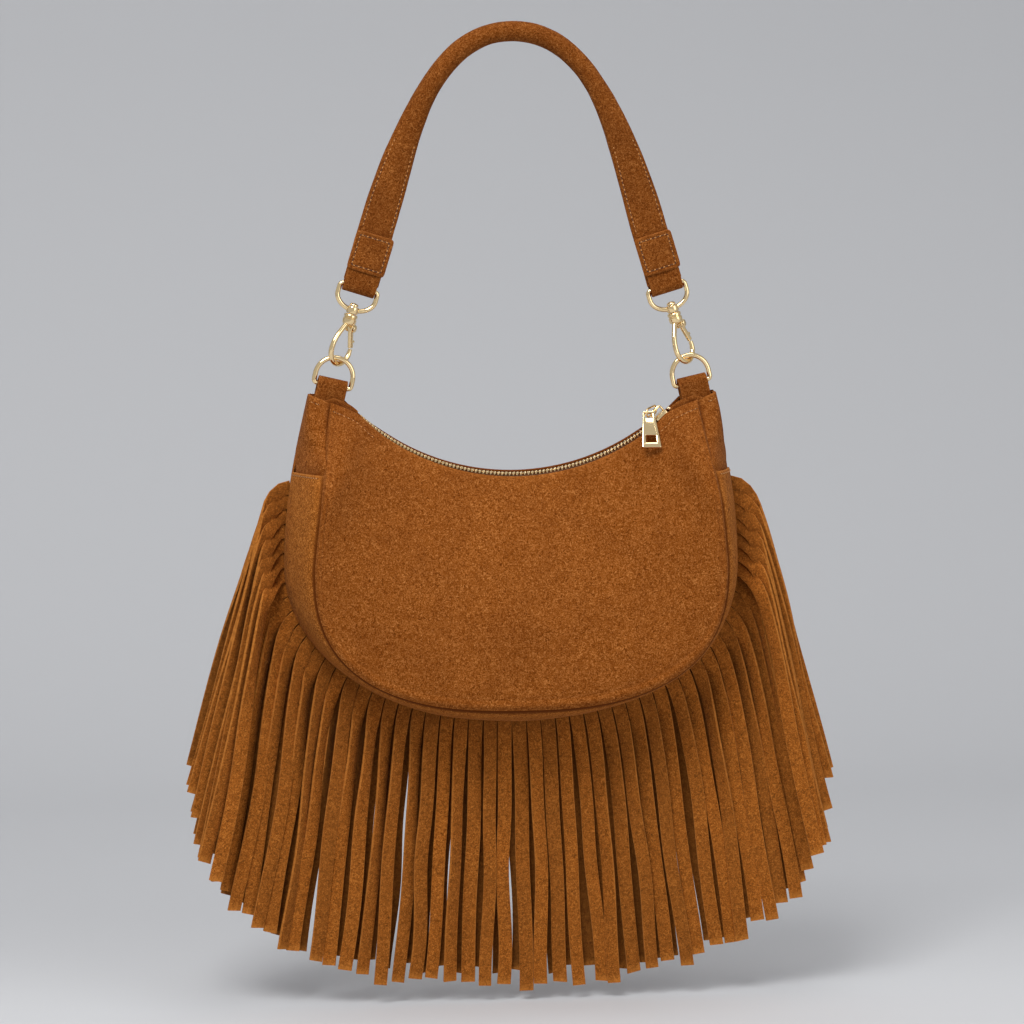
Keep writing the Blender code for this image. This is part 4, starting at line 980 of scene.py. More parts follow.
@dataclass
class Handle:
    """The rolled handle, its folded strap ends and their patches."""

    palette: Palette
    dresser: Dresser
    stitcher: Stitcher
    frames: SideFrames
    round_size: float = 12.4 * MM
    strap_width: float = 22.0 * MM
    strap_thickness: float = 4.3 * MM
    top_reach: float = 55.0 * MM
    leg_reach: float = 80.0 * MM
    end_clearance: float = 3.0 * MM
    flat_share: float = 0.22
    round_share: float = 0.72
    stitch_inset: float = 2.3 * MM
    stitch_top_z: float = -62.0 * MM
    fold_leg: float = 33.0 * MM
    end_width: float = 20.6 * MM
    patch_size: tuple[float, float, float] = (23.5 * MM, 1.6 * MM, 24.0 * MM)
    patch_rise: float = 21.5 * MM

    @cached_property
    def path(self) -> Line:
        """The handle's middle line, from its left leg to its right leg."""
        centre_z = self.round_size / 2
        bar = self.frames.bar(Side.RIGHT)
        end = bar @ Vector((0.0, 0.0, self.end_clearance))
        reach = bar @ Vector((0.0, 0.0, self.end_clearance + self.leg_reach))
        half = interpolate_bezier(Vector((0.0, 0.0, centre_z)),
                                  Vector((self.top_reach, 0.0, centre_z)), reach, end, 400)
        left = [Vector((-point.x, 0.0, point.z)) for point in reversed(half)]
        return Line(left + half[1:])

    def point(self, u: float, v: float) -> Vector:
        """Return a point of the handle's surface.

        Args:
            u: Round the handle, from 0 to 1.
            v: Along it, from 0 to 1.

        Returns:
            The point.
        """
        distance = self.path.length * v
        centre, along = self.path.at(distance), self.path.tangent(distance)
        across = Vector((along.z, 0.0, -along.x))
        roundness = smoothstep(min(v, 1.0 - v) * 2.0, self.flat_share, self.round_share)
        half_width = blend(self.strap_width, self.round_size, roundness) / 2
        half_depth = blend(self.strap_thickness, self.round_size, roundness) / 2
        power = blend(4.0, 2.0, roundness)
        angle = 2.0 * math.pi * u
        x = math.copysign(abs(math.cos(angle)) ** (2 / power), math.cos(angle)) * half_width
        y = math.copysign(abs(math.sin(angle)) ** (2 / power), math.sin(angle)) * half_depth
        sewn = 1.0 - roundness
        inset = abs(abs(x) - (half_width - self.stitch_inset))
        y *= 1.0 - 0.16 * sewn * bump(inset, 0.0, 1.2 * MM)
        y *= 1.0 + 0.10 * sewn * (1.0 - (x / half_width) ** 2)
        place = centre + across * x + Vector((0.0, y, 0.0))
        wander = softness(place, 26 * MM) * 0.35 * MM + softness(place, 9 * MM, 3.0) * 0.12 * MM
        return place + (place - centre).normalized() * wander

    def build_body(self) -> None:
        """Make the handle itself."""
        bm = mapped_grid(64, 220, self.point, tube=True, capped=True,
                         rim=lambda u, v: 0.8 * bump(abs(math.cos(2 * math.pi * u)), 1.0, 0.02)
                         * (1.0 - smoothstep(min(v, 1 - v) * 2, 0.5, 0.75)))
        self.dresser.add("handle_suede", bm, self.palette.handle, "handle", Slot.HANDLE,
                         ("handle",))

    def edge_row(self, edge: int, face: int, first: float, last: float) -> Line:
        """Return the line of one row of stitches along the strap.

        Args:
            edge: -1 or 1, the edge that it follows.
            face: -1 for the front, 1 for the back.
            first: Where it starts, as a share of the handle.
            last: Where it ends.

        Returns:
            The line.
        """
        points = []
        for index in range(61):
            v = blend(first, last, index / 60)
            distance = self.path.length * v
            centre, along = self.path.at(distance), self.path.tangent(distance)
            across = Vector((along.z, 0.0, -along.x))
            roundness = smoothstep(min(v, 1.0 - v) * 2.0, self.flat_share, self.round_share)
            half_width = blend(self.strap_width, self.round_size, roundness) / 2
            half_depth = blend(self.strap_thickness, self.round_size, roundness) / 2
            power = blend(4.0, 2.0, roundness)
            x = half_width - self.stitch_inset
            y = half_depth * (1.0 - (x / half_width) ** power) ** (1 / power)
            y *= 1.0 - 0.16 * (1.0 - roundness)
            points.append(centre + across * (edge * x) + Vector((0.0, face * y, 0.0)))
        return Line(points)

    def build_stitches(self) -> None:
        """Sew both edges of both legs, on the front and on the back."""
        start = 0.0
        total = self.path.length
        while self.path.at(start).z < self.stitch_top_z:
            start += MM
        share = start / total
        stitches, holes = new_pair()
        patch_top = (self.patch_rise + self.patch_size[2] / 2) / total
        for face, low in ((-1, patch_top), (1, (self.fold_leg + 1 * MM) / total)):
            out = Vector((0.0, float(face), 0.0))
            for first, last in ((low, share), (1.0 - share, 1.0 - low)):
                for edge in (-1, 1):
                    self.stitcher.row(stitches, holes, self.edge_row(edge, face, first, last),
                                      lambda place, out=out: out)
        self.stitcher.finish("handle_edge_stitches", stitches, holes, "handle")

    def build_end(self, side: Side) -> None:
        """Fold the strap round the bar of the swivel loop, on one side."""
        inner, wall, leg = self.frames.strap_inner, self.frames.strap_wall, self.fold_leg
        radius = inner + wall / 2
        profile = Line([(-radius, leg)] + [
            (-radius * math.cos(math.pi * k / 24), -radius * math.sin(math.pi * k / 24))
            for k in range(25)] + [(radius, leg)])
        place = self.frames.bar(side)

        def surface(u: float, v: float) -> Vector:
            y, z = profile.at(profile.length * v)
            pinch = 1.0 - 0.03 * bump(z, -radius, 6 * MM)
            x = (u - 0.5) * self.end_width * pinch
            y *= 1.0 + 0.10 * bump(abs(u - 0.5), 0.5, 0.16) * smoothstep(z, 0.0, 9 * MM)
            spot = Vector((x, y, z))
            return place @ (spot + Vector((0.0, softness(spot, 11 * MM, side.value) * 0.2 * MM,
                                           0.0)))

        bm = mapped_grid(20, 60, surface, rim=lambda u, v: bump(abs(u - 0.5), 0.5, 0.03))
        name = side.label + "_strap_fold"
        piece = self.dresser.add(name, bm, self.palette.handle, "handle", Slot.HANDLE,
                                 (side.label + "_strap_end",))
        self.dresser.thicken(piece, wall, 0.5 * MM)

    def build_patch(self, side: Side) -> None:
        """Sew the square patch over the strap end, on one side."""
        width, wall, height = self.patch_size
        front = -(self.frames.strap_inner + self.frames.strap_wall + 0.3 * MM)
        place = self.frames.bar(side)

        def surface(u: float, v: float) -> Vector:
            x, z = (u - 0.5) * 2.0, (v - 0.5) * 2.0
            corner = (abs(x) ** 14 + abs(z) ** 14) ** (1 / 14) if x or z else 1.0
            reach = max(abs(x), abs(z)) / corner if corner else 1.0
            edge = max(abs(x), abs(z))
            spot = Vector((x * reach * width / 2, 0.0, self.patch_rise + z * reach * height / 2))
            wavy = softness(spot, 7 * MM, 5.0 + side.value) * 0.22 * MM
            press = 0.42 * MM * bump(edge, 0.80, 0.10) + 0.5 * MM * smoothstep(edge, 0.93, 1.0)
            spot.y = front - wall / 2 + press - wavy * (1.0 - edge)
            return place @ spot

        bm = mapped_grid(30, 30, surface,
                         rim=lambda u, v: bump(max(abs(u - .5), abs(v - .5)), 0.5, 0.025))
        piece = self.dresser.add(side.label + "_sewn_patch", bm, self.palette.handle, "handle",
                                 Slot.HANDLE, (side.label + "_end_patch",))
        self.dresser.thicken(piece, wall * 0.75, 0.35 * MM)
        inset = 2.5 * MM
        half_w, half_h = width / 2 - inset, height / 2 - inset
        corners = [(-half_w, half_h), (-half_w, -half_h), (half_w, -half_h), (half_w, half_h)]
        stitches, holes = new_pair()
        out = (place.to_3x3() @ Vector((0.0, -1.0, 0.0))).normalized()
        for start, end in zip(corners, corners[1:] + corners[:1]):
            surface_y = front - wall * 0.66
            ends = [place @ Vector((x, surface_y, self.patch_rise + z)) for x, z in (start, end)]
            row = Line([ends[0].lerp(ends[1], k / 20) for k in range(21)])
            self.stitcher.row(stitches, holes, row, lambda spot: out, 3.2 * MM)
        self.stitcher.finish(side.label + "_patch_stitches", stitches, holes, "handle")

    def build(self) -> None:
        """Make the handle and both its ends."""
        self.build_body()
        self.build_stitches()
        for side in Side:
            self.build_end(side)
            self.build_patch(side)


@dataclass
class SideFittings:
    """The gold swivel loops, trigger hooks, gates, rivets and rings."""

    palette: Palette
    dresser: Dresser
    frames: SideFrames
    gap: float = 0.3 * MM
    loop_wire: float = 3.0 * MM
    loop_width: float = 27.0 * MM
    loop_corner: float = 2.0 * MM
    hub_diameter: float = 7.5 * MM
    hub_height: float = 4.5 * MM
    stem_diameter: float = 3.2 * MM
    head_diameter: float = 5.5 * MM
    head_height: float = 2.0 * MM
    hook_bar: float = 3.4 * MM
    hook_width: float = 21.0 * MM
    hook_length: float = 35.8 * MM
    boss_diameter: float = 8.5 * MM
    boss_height: float = 7.0 * MM
    gate_width: float = 3.2 * MM
    gate_thickness: float = 2.4 * MM
    eye_radius: float = 2.0 * MM
    pivot_x: float = 3.2 * MM
    pivot_drop: float = 10.7 * MM
    nose_rise: float = 2.0 * MM
    cheek: float = 1.5 * MM
    rivet_head: float = 2.8 * MM
    rivet_rise: float = 0.5 * MM
    pin_diameter: float = 1.8 * MM
    pin_reach: float = 1.4 * MM
    ring_wire: float = 3.1 * MM
    ring_corner: float = 1.9 * MM

    def add(self, name: str, bm: bmesh.types.BMesh, place: Matrix, body: str, node: str) -> None:
        """Put a gold piece in its place and add it to the scene."""
        bm.transform(place)
        self.dresser.add(name, bm, self.palette.gold, body, Slot.GOLD, (node,))

    def build_loop(self, side: Side) -> None:
        """Bend the loop's wire and set its hub."""
        half = (self.loop_width - self.loop_wire) / 2
        drop, corner = self.frames.loop_drop, self.loop_corner
        low = -corner - (drop - corner) * 0.3
        start = math.asin(self.hub_diameter * 0.34 / half)
        right = arc_points((0.0, low), half, drop + low, -math.pi / 2 + start, 0.0, 26)
        right += arc_points((half - corner, -corner), corner, corner, 0.0, math.pi / 2, 8)
        left = [Vector((-point.x, 0.0, point.z)) for point in reversed(right)]
        bm = tube_bmesh(Line(right + left).points, self.loop_wire / 2, closed=False, sides=20)
        hub, bore = self.hub_diameter / 2, self.stem_diameter / 2 + self.gap
        top, edge = self.hub_height / 2, 0.7 * MM
        ring = [(bore, top), (hub - edge, top), (hub - edge * 0.3, top - edge * 0.3),
                (hub, top - edge), (hub, -top + edge), (hub - edge * 0.3, -top + edge * 0.3),
                (hub - edge, -top), (bore, -top), (bore, top)]
        join_bmesh(bm, turned_bmesh(ring), Matrix.Translation((0.0, 0.0, -drop)))
        self.add(side.label + "_swivel_wire", bm, self.frames.bar(side), "loops",
                 side.label + "_swivel_loop")

    def hook_line(self) -> list[Vector]:
        """Return the middle line of the hook's bar, from its boss to its nose."""
        half = (self.hook_width - self.hook_bar) / 2
        bend_z = -self.hook_length + self.hook_bar / 2 + half
        top = -self.hub_height / 2 - self.gap - self.boss_height * 0.8
        shoulder = interpolate_bezier(Vector((-self.boss_diameter * 0.18, 0.0, top)),
                                      Vector((-half * 0.6, 0.0, top - half * 0.7)),
                                      Vector((-half, 0.0, bend_z + half * 0.8)),
                                      Vector((-half, 0.0, bend_z)), 36)
        bend = arc_points((0.0, bend_z), half, half, math.pi, 2 * math.pi, 48)
        return shoulder + bend[1:] + [Vector((half, 0.0, bend_z + self.nose_rise))]

    def build_hook(self, side: Side) -> None:
        """Turn the boss and stem, sweep the bar, and set the two cheeks of the fork."""
        boss_top = -self.hub_height / 2 - self.gap
        head_low = self.hub_height / 2 + self.gap
        head, stem, boss = self.head_diameter / 2, self.stem_diameter / 2, self.boss_diameter / 2
        profile = [(0.0, head_low + self.head_height)]
        profile += [(head * math.sin(t), head_low + self.head_height * (0.3 + 0.7 * math.cos(t)))
                    for t in (0.3, 0.6, 0.9, 1.2, math.pi / 2)]
        profile += [(head, head_low), (stem, head_low), (stem, boss_top),
                    (boss * 0.82, boss_top), (boss * 0.95, boss_top - 0.35 * MM),
                    (boss, boss_top - 1.0 * MM), (boss, boss_top - 1.8 * MM),
                    (boss * 0.9, boss_top - 2.2 * MM), (boss * 0.9, boss_top - 2.7 * MM),
                    (boss, boss_top - 3.1 * MM), (boss, boss_top - 5.0 * MM),
                    (boss * 0.92, boss_top - 6.2 * MM), (boss * 0.7, boss_top - 6.9 * MM),
                    (0.0, boss_top - 7.0 * MM)]
        bm = turned_bmesh(profile, 44)
        half = self.hook_bar / 2
        swell = lambda share: half * (0.94 + 0.10 * bump(share, 0.62, 0.22)
                                      - 0.16 * smoothstep(share, 0.9, 1.0))
        join_bmesh(bm, tube_bmesh(self.hook_line(), swell, closed=False, sides=20, flat=0.96))
        pivot = Vector((self.pivot_x, 0.0, -self.pivot_drop))
        across = Matrix.Rotation(math.pi / 2, 4, "X")
        slot = self.gate_thickness / 2 + self.gap
        for way in (-1, 1):
            low, high = sorted((way * slot, way * (slot + self.cheek)))
            cheek = turned_bmesh(barrel(self.eye_radius + 2 * self.gap, low, high, 0.35 * MM), 32)
            join_bmesh(bm, cheek, Matrix.Translation(pivot) @ across)
        self.add(side.label + "_hook_body", bm, self.frames.hook(side), side.label + "_hook",
                 side.label + "_hook")

    def build_rivet(self, side: Side) -> None:
        """Turn the gate's rivet with its two domed heads."""
        half = self.gate_thickness / 2 + 2 * self.gap + self.cheek
        head, pin = self.rivet_head / 2, 0.8 * MM
        dome = [(head * math.sin(t), half + self.rivet_rise * math.cos(t))
                for t in (0.0, 0.4, 0.8, 1.2, math.pi / 2)]
        profile = dome + [(pin, half), (pin, -half)] + [(x, -z) for x, z in reversed(dome)]
        pivot = Vector((self.pivot_x, 0.0, -self.pivot_drop))
        place = (self.frames.hook(side) @ Matrix.Translation(pivot)
                 @ Matrix.Rotation(math.pi / 2, 4, "X"))
        self.add(side.label + "_gate_pin", turned_bmesh(profile, 28), place,
                 side.label + "_hook", side.label + "_gate_rivet")

    def build_gate(self, side: Side) -> None:
        """Make the gate: its eye, its tapered arm and its thumb pin."""
        pivot = Vector((self.pivot_x, 0.0, -self.pivot_drop))
        nose = self.hook_line()[-1] - pivot
        lean = math.atan2(nose.x, -nose.z)
        seat = self.gate_width / 2 * math.sin(lean) + self.gap
        length = (-nose.z - seat) / math.cos(lean)
        across = Matrix.Rotation(math.pi / 2, 4, "X")
        half = self.gate_thickness / 2
        bm = turned_bmesh(barrel(self.eye_radius, -half, half, 0.3 * MM), 32)
        bm.transform(across)
        turn = Matrix.Rotation(-lean, 4, "Y")
        section = rounded_section(self.gate_width, self.gate_thickness, 0.8 * MM, 4)

        def arm(u: float, v: float) -> Vector:
            x, y = section[round(u * (len(section) - 1))]
            slim = blend(0.86, 1.0, smoothstep(v, 0.0, 0.35))
            return turn @ Vector((x * slim, y, -length * v))

        join_bmesh(bm, mapped_grid(len(section) - 1, 16, arm, tube=True, capped=True))
        reach = self.gate_width / 2 + self.pin_reach
        pin = turned_bmesh(barrel(self.pin_diameter / 2, 0.0, reach, 0.3 * MM), 24)
        at = Vector((0.0, 0.0, -length + self.gate_width))
        join_bmesh(bm, pin, turn @ Matrix.Translation(at) @ Matrix.Rotation(math.pi / 2, 4, "Y"))
        place = self.frames.hook(side) @ Matrix.Translation(pivot)
        self.add(side.label + "_gate_lever", bm, place, side.label + "_gate",
                 side.label + "_gate")

    def build_ring(self, side: Side) -> None:
        """Bend the ring, round above and straight inside its tab."""
        radius, corner = self.frames.ring_radius, self.ring_corner
        low = -self.frames.ring_bar_drop + corner
        points = arc_points((0.0, 0.0), radius, radius, math.pi, 0.0, 60)
        points += arc_points((radius - corner, low), corner, corner, 0.0, -math.pi / 2, 8)
        points += arc_points((-radius + corner, low), corner, corner, -math.pi / 2,
                             -math.pi, 8)
        bm = tube_bmesh(points, self.ring_wire / 2, closed=True, sides=22)
        self.add(side.label + "_ring_wire", bm, self.frames.ring(side), "rings",
                 side.label + "_ring")

    def build(self) -> None:
        """Make the fittings of both sides."""
        for side in Side:
            self.build_loop(side)
            self.build_hook(side)
            self.build_rivet(side)
            self.build_gate(side)
            self.build_ring(side)


@dataclass
class BagBody:
    """The panels, the gusset band, the side pieces, the ring tabs and their seams."""

    palette: Palette
    dresser: Dresser
    stitcher: Stitcher
    frames: SideFrames
    shape: BagShape
    front_swell: float = 3.0 * MM
    back_swell: float = 6.0 * MM
    fall_power: float = 1.5
    side_squareness: float = 5.0
    rim_roll: float = 1.5 * MM
    edge_drop: float = 1.9 * MM
    back_rise: float = 1.4 * MM
    seam_shadow: float = 0.022
    overlap: float = 1.7 * MM
    lap_ease: float = 0.15 * MM
    lap_start: float = 0.6
    lap_end: float = 0.92
    band_roll: float = 0.6
    tongue_rise: float = 4.2 * MM
    tab_width: float = 18.2 * MM
    tab_wall: float = 2.1 * MM
    tab_leg: float = 16.0 * MM
    tab_inner: float = 2.5 * MM

    def edge_line(self, edge_z: Callable[[float], float], half_width: float) -> Line:
        """Return a panel's top edge from its left corner to its right corner."""
        return Line([(x, edge_z(x)) for x in (blend(-half_width, half_width, k / 400)
                                              for k in range(401))])

    def front_edge_y(self, x: float) -> float:
        """Return Y of the front panel's top edge."""
        share = smoothstep(abs(x), self.shape.front_arc_x, self.shape.front_top_x)
        return -self.shape.panel_y - self.shape.pocket_ease * share

    def panel_shape(self, edge: Line, seam: Line, edge_y: Callable[[float], float],
                    seam_y: Callable[[float], float], swell: float, seed: float) -> Shape:
        """Return the map of a domed panel with a turned rim.

        Args:
            edge: The top edge.
            seam: The seam round it.
            edge_y: Gives Y at the top edge from x.
            seam_y: Gives Y at the seam from the height.
            swell: How far the middle bulges, with its sign.
            seed: Of the soft dents.

        Returns:
            The place of a point from its u and v.
        """
        way = 1.0 if swell > 0 else -1.0

        def surface(u: float, v: float) -> Vector:
            drop = 1.0 - (1.0 - v) ** 1.35
            top, low = edge.at(edge.length * u), seam.at(seam.length * u)
            place = top.lerp(low, drop)
            y = blend(edge_y(top.x), seam_y(low.y), 1.0 - (1.0 - drop) ** self.fall_power)
            reach = min(abs(low.y - top.y) / self.shape.back_depth_z, 1.0)
            y += swell * math.sin(math.pi * drop) * reach
            spot = Vector((place.x, y, place.y))
            inside = smoothstep(drop, 0.02, 0.2) * (1.0 - smoothstep(drop, 0.86, 0.99))
            dents = (softness(spot, 48 * MM, seed) * 1.1 + softness(spot, 19 * MM, seed + 2) * 0.35)
            span = max((low - top).length, MM)
            from_seam = (1.0 - drop) * span
            from_edge = drop * span
            roll = self.rim_roll * (bump(from_seam, 0.0, 1.5 * MM) * 0.9)
            welt = 0.45 * MM * bump(from_seam, 3.4 * MM, 1.8 * MM)
            groove = 0.35 * MM * bump(from_seam, 6.2 * MM, 1.6 * MM)
            lip = 0.5 * MM * bump(from_edge, 0.0, 1.4 * MM) - 0.25 * MM * bump(
                from_edge, 3.6 * MM, 1.4 * MM)
            spot.y += way * (dents * inside * MM + welt - groove - roll - lip)
            return spot

        return surface

    def front_map(self) -> tuple[Line, Shape]:
        """Return the front panel's top edge, a little low so that the teeth show, and its map."""
        shape = self.shape
        edge = self.edge_line(
            lambda x: shape.front_edge_z(x) - self.edge_drop
            * (1.0 - smoothstep(abs(x), 80.0 * MM, 108.0 * MM)), shape.front_top_x)
        return edge, self.panel_shape(edge, shape.front_seam, self.front_edge_y,
                                      shape.front_seam_y, -self.front_swell, 1.0)

    def build_front(self) -> None:
        """Make the domed front panel."""
        edge, surface = self.front_map()
        # The rim mark paints a highlight on the turned rim at the seam and on the top edge.
        bm = mapped_grid(260, 110, surface, rim=lambda u, v: 0.8 * max(
            bump(v, 1.0, 0.012), bump(v, 0.0, 0.008)))
        piece = self.dresser.add("front_face", bm, self.palette.panel, "bag", Slot.SUEDE,
                                 ("front_panel",))
        self.dresser.thicken(piece, self.shape.panel_wall, 0.5 * MM)

    def build_back(self) -> None:
        """Make the domed back panel."""
        edge = self.edge_line(
            lambda x: self.shape.back_edge_z(x) + self.back_rise
            * (1.0 - smoothstep(abs(x), 75.0 * MM, 105.0 * MM)), self.shape.corner_x)
        surface = self.panel_shape(edge, self.shape.back_seam, lambda x: self.shape.panel_y,
                                   self.shape.back_panel_y, self.back_swell, 9.0)
        # Painted highlight on the turned rim at the seam, and painted shade along the top edge,
        # whose inner side faces the opening.
        bm = mapped_grid(240, 90, surface, rim=lambda u, v: 0.9 * bump(v, 1.0, 0.012),
                         shade=lambda u, v: 0.7 * bump(v, 0.0, 0.02))
        piece = self.dresser.add("back_face", bm, self.palette.panel, "bag", Slot.SUEDE,
                                 ("back_panel",))
        self.dresser.thicken(piece, self.shape.panel_wall, 0.5 * MM)

    def band_point(self, u: float, v: float) -> Vector:
        """Return a point of the gusset band, with u along it and v from front to back."""
        shape = self.shape
        first = shape.front_half.distance_of_height(shape.side_seam_z)
        last = shape.back_half.distance_of_height(shape.side_seam_z)
        a = shape.front_seam.at(blend(first, shape.front_seam.length - first, u))
        d = shape.back_seam.at(blend(last, shape.back_seam.length - last, u))
        place = a.lerp(d, v ** self.band_roll)
        y = blend(shape.gusset_front_y(a.y), shape.back_seam_y(d.y), v)
        spot = Vector((place.x, y, place.y))
        outward = Vector((place.x, 0.0, place.y - shape.widest_z * 0.94)).normalized()
        puff = 0.8 * MM * math.sin(math.pi * v) - 0.6 * MM * bump(v, 0.0, 0.06)
        wander = softness(spot, 30 * MM, 4.0) * 0.6 * MM * math.sin(math.pi * v)
        return spot + outward * (puff + wander)

    def build_band(self) -> None:
        """Make the band between the two seams."""
        def shadow(u: float, v: float) -> float:
            reach = self.seam_shadow * blend(1.0, 2.6, bump(u, 0.5, 0.34))
            return 1.0 - smoothstep(v, reach * 0.5, reach * 1.3)

        # Painted shadow along the front seam; the rim mark paints a highlight along the back seam
        # and a light line at both ends.
        bm = mapped_grid(300, 48, self.band_point, shade=shadow,
                         rim=lambda u, v: max(0.8 * bump(v, 1.0, 0.04),
                                              bump(abs(u - 0.5), 0.5, 0.0022)))
        piece = self.dresser.add("gusset_band", bm, self.palette.band, "bag", Slot.SUEDE,
                                 ("lower_gusset",))
        self.dresser.thicken(piece, self.shape.panel_wall, 0.5 * MM)

    def side_point(self, side: Side) -> Shape:
        """Return the map of the side piece above one side seam."""
        shape = self.shape
        front_end = shape.front_half.distance_of_height(shape.side_seam_z - self.overlap)
        back_end = shape.back_half.distance_of_height(shape.side_seam_z - self.overlap)
        band_starts_here = (self.band_point(0.0, 0.5).x < 0) == (side is Side.LEFT)
        band_end = 0.0 if band_starts_here else 1.0
        lap = shape.panel_wall + self.lap_ease

        def surface(u: float, v: float) -> Vector:
            a = shape.front_half.at(front_end * v)
            d = shape.back_half.at(back_end * v)
            start_y = shape.gusset_front_y(a.y) - shape.seam_ease + shape.side_ease
            end_y = shape.back_panel_y(d.y) - shape.panel_wall / 2 - shape.gap
            wrap = 1.0 - smoothstep(v, 0.2, 1.0)
            power = blend(2.0, self.side_squareness, wrap)
            angle = u * math.pi / 2
            out = blend(u, math.sin(angle) ** (2 / power), wrap)
            deep = 1.0 - max(math.cos(angle), 0.0) ** (2 / power)
            deep = blend(u, deep, wrap)
            spot = Vector((side.value * blend(a.x, d.x, out), blend(start_y, end_y, deep),
                           blend(a.y, d.y, out)))
            spot.x += side.value * softness(spot, 16 * MM, 6.0) * 0.5 * MM * math.sin(math.pi * u)
            seat = self.band_point(band_end, u)
            join = smoothstep(v, self.lap_start, self.lap_end)
            spot.x = blend(spot.x, seat.x, join) - side.value * lap * join
            spot.y = blend(spot.y, seat.y, join)
            return spot

        return surface

    def build_side(self, side: Side) -> None:
        """Make the side piece above one side seam."""
        # Painted shade in a strip beside the front seam; the rim mark lightens the top edge.
        bm = mapped_grid(60, 60, self.side_point(side),
                         rim=lambda u, v: 0.9 * bump(v, 0.0, 0.03),
                         shade=lambda u, v: 1.0 - smoothstep(u, 0.004, 0.016))
        piece = self.dresser.add(side.label + "_side_piece", bm, self.palette.panel, "bag",
                                 Slot.SUEDE, (side.label + "_side_top",))
        self.dresser.thicken(piece, self.shape.panel_wall, 0.5 * MM)

    def build_tab(self, side: Side) -> None:
        """Fold the tab over the bar of the ring."""
        radius = self.tab_inner + self.tab_wall / 2
        profile = Line([(-radius, -self.tab_leg)] + [
            (-radius * math.cos(math.pi * k / 24), radius * math.sin(math.pi * k / 24))
            for k in range(25)] + [(radius, -self.tab_leg)])
        place = self.frames.ring_bar(side)

        def surface(u: float, v: float) -> Vector:
            y, z = profile.at(profile.length * v)
            spot = Vector(((u - 0.5) * self.tab_width, y, z))
            spot.y += softness(spot, 9 * MM, 8.0) * 0.2 * MM
            return place @ spot

        bm = mapped_grid(20, 48, surface, rim=lambda u, v: bump(abs(u - 0.5), 0.5, 0.03))
        piece = self.dresser.add(side.label + "_tab_fold", bm, self.palette.handle, "bag",
                                 Slot.SUEDE, (side.label + "_ring_tab",))
        self.dresser.thicken(piece, self.tab_wall, 0.5 * MM)

    def build_tongue(self, side: Side) -> None:
        """Fold the zip's end up between the front panel's corner and the ring tab."""
        shape = self.shape
        first, last = 97.0 * MM, 119.0 * MM

        def surface(u: float, v: float) -> Vector:
            x = blend(first, last, u)
            crown = math.sin(math.pi * blend(0.04, 0.9, u) ** 0.8) ** 0.6
            top = shape.front_edge_z(min(x, 112.0 * MM)) + self.tongue_rise * crown
            low = shape.front_edge_z(min(x, 112.0 * MM)) - 7.0 * MM
            y = -shape.panel_y - blend(-0.2, 1.15, smoothstep(u, 0.1, 0.4)) * MM
            y += 1.6 * MM * bump(v, 0.0, 0.25) * (1.0 - smoothstep(u, 0.3, 0.6))
            return Vector((side.value * x, y, blend(top, low, v)))

        # Painted shade darkens the tongue below its top, where it goes down behind the front
        # panel's edge; the rim mark lightens its top edge.
        bm = mapped_grid(36, 16, surface, rim=lambda u, v: 0.7 * bump(v, 0.0, 0.07),
                         shade=lambda u, v: 0.55 * smoothstep(v, 0.08, 0.3))
        piece = self.dresser.add(side.label + "_corner_tongue", bm, self.palette.handle, "bag",
                                 Slot.SUEDE)
        self.dresser.thicken(piece, 1.0 * MM, 0.3 * MM)

    def sew(self) -> None:
        """Sew the side seams and the rows at the front panel's corners."""
        shape = self.shape
        stitches, holes = new_pair()
        for side in Side:
            u = 0.0 if side is Side.LEFT else 1.0
            points = []
            for k in range(41):
                spot = self.band_point(abs(u - 0.0034), blend(0.06, 0.97, k / 40))
                points.append(spot + Vector((side.value * 0.95 * MM, -0.25 * MM, 0.0)))
            outward = Vector((side.value * 0.8, -0.6, 0.0)).normalized()
            self.stitcher.row(stitches, holes, Line(points), lambda place, out=outward: out,
                              2.6 * MM)
            top = [self.side_point(side)(blend(0.12, 0.7, k / 20), 0.075) + Vector(
                (0.0, -shape.panel_wall / 2, 0.0)) for k in range(21)]
            self.stitcher.row(stitches, holes, Line(top), lambda place, out=outward: out,
                              3.1 * MM)
        edge, surface = self.front_map()
        for side in Side:
            first, last = (0.012, 0.135) if side is Side.LEFT else (0.865, 0.988)
            points = []
            for k in range(61):
                u = blend(first, last, k / 60)
                top, low = edge.at(edge.length * u), shape.front_seam.at(
                    shape.front_seam.length * u)
                span = max((low - top).length, MM)
                v = 1.0 - (1.0 - min(4.2 * MM / span, 0.98)) ** (1 / 1.35)
                points.append(surface(u, v) + Vector((0.0, -shape.panel_wall / 2, 0.0)))
            self.stitcher.row(stitches, holes, Line(points), lambda place: Vector((0, -1, 0)),
                              3.1 * MM)
        self.stitcher.finish("bag_seam_stitches", stitches, holes, "bag")

    def build(self) -> None:
        """Make every piece of the body."""
        self.build_front()
        self.build_back()
        self.build_band()
        for side in Side:
            self.build_side(side)
            self.build_tab(side)
            self.build_tongue(side)
        self.sew()


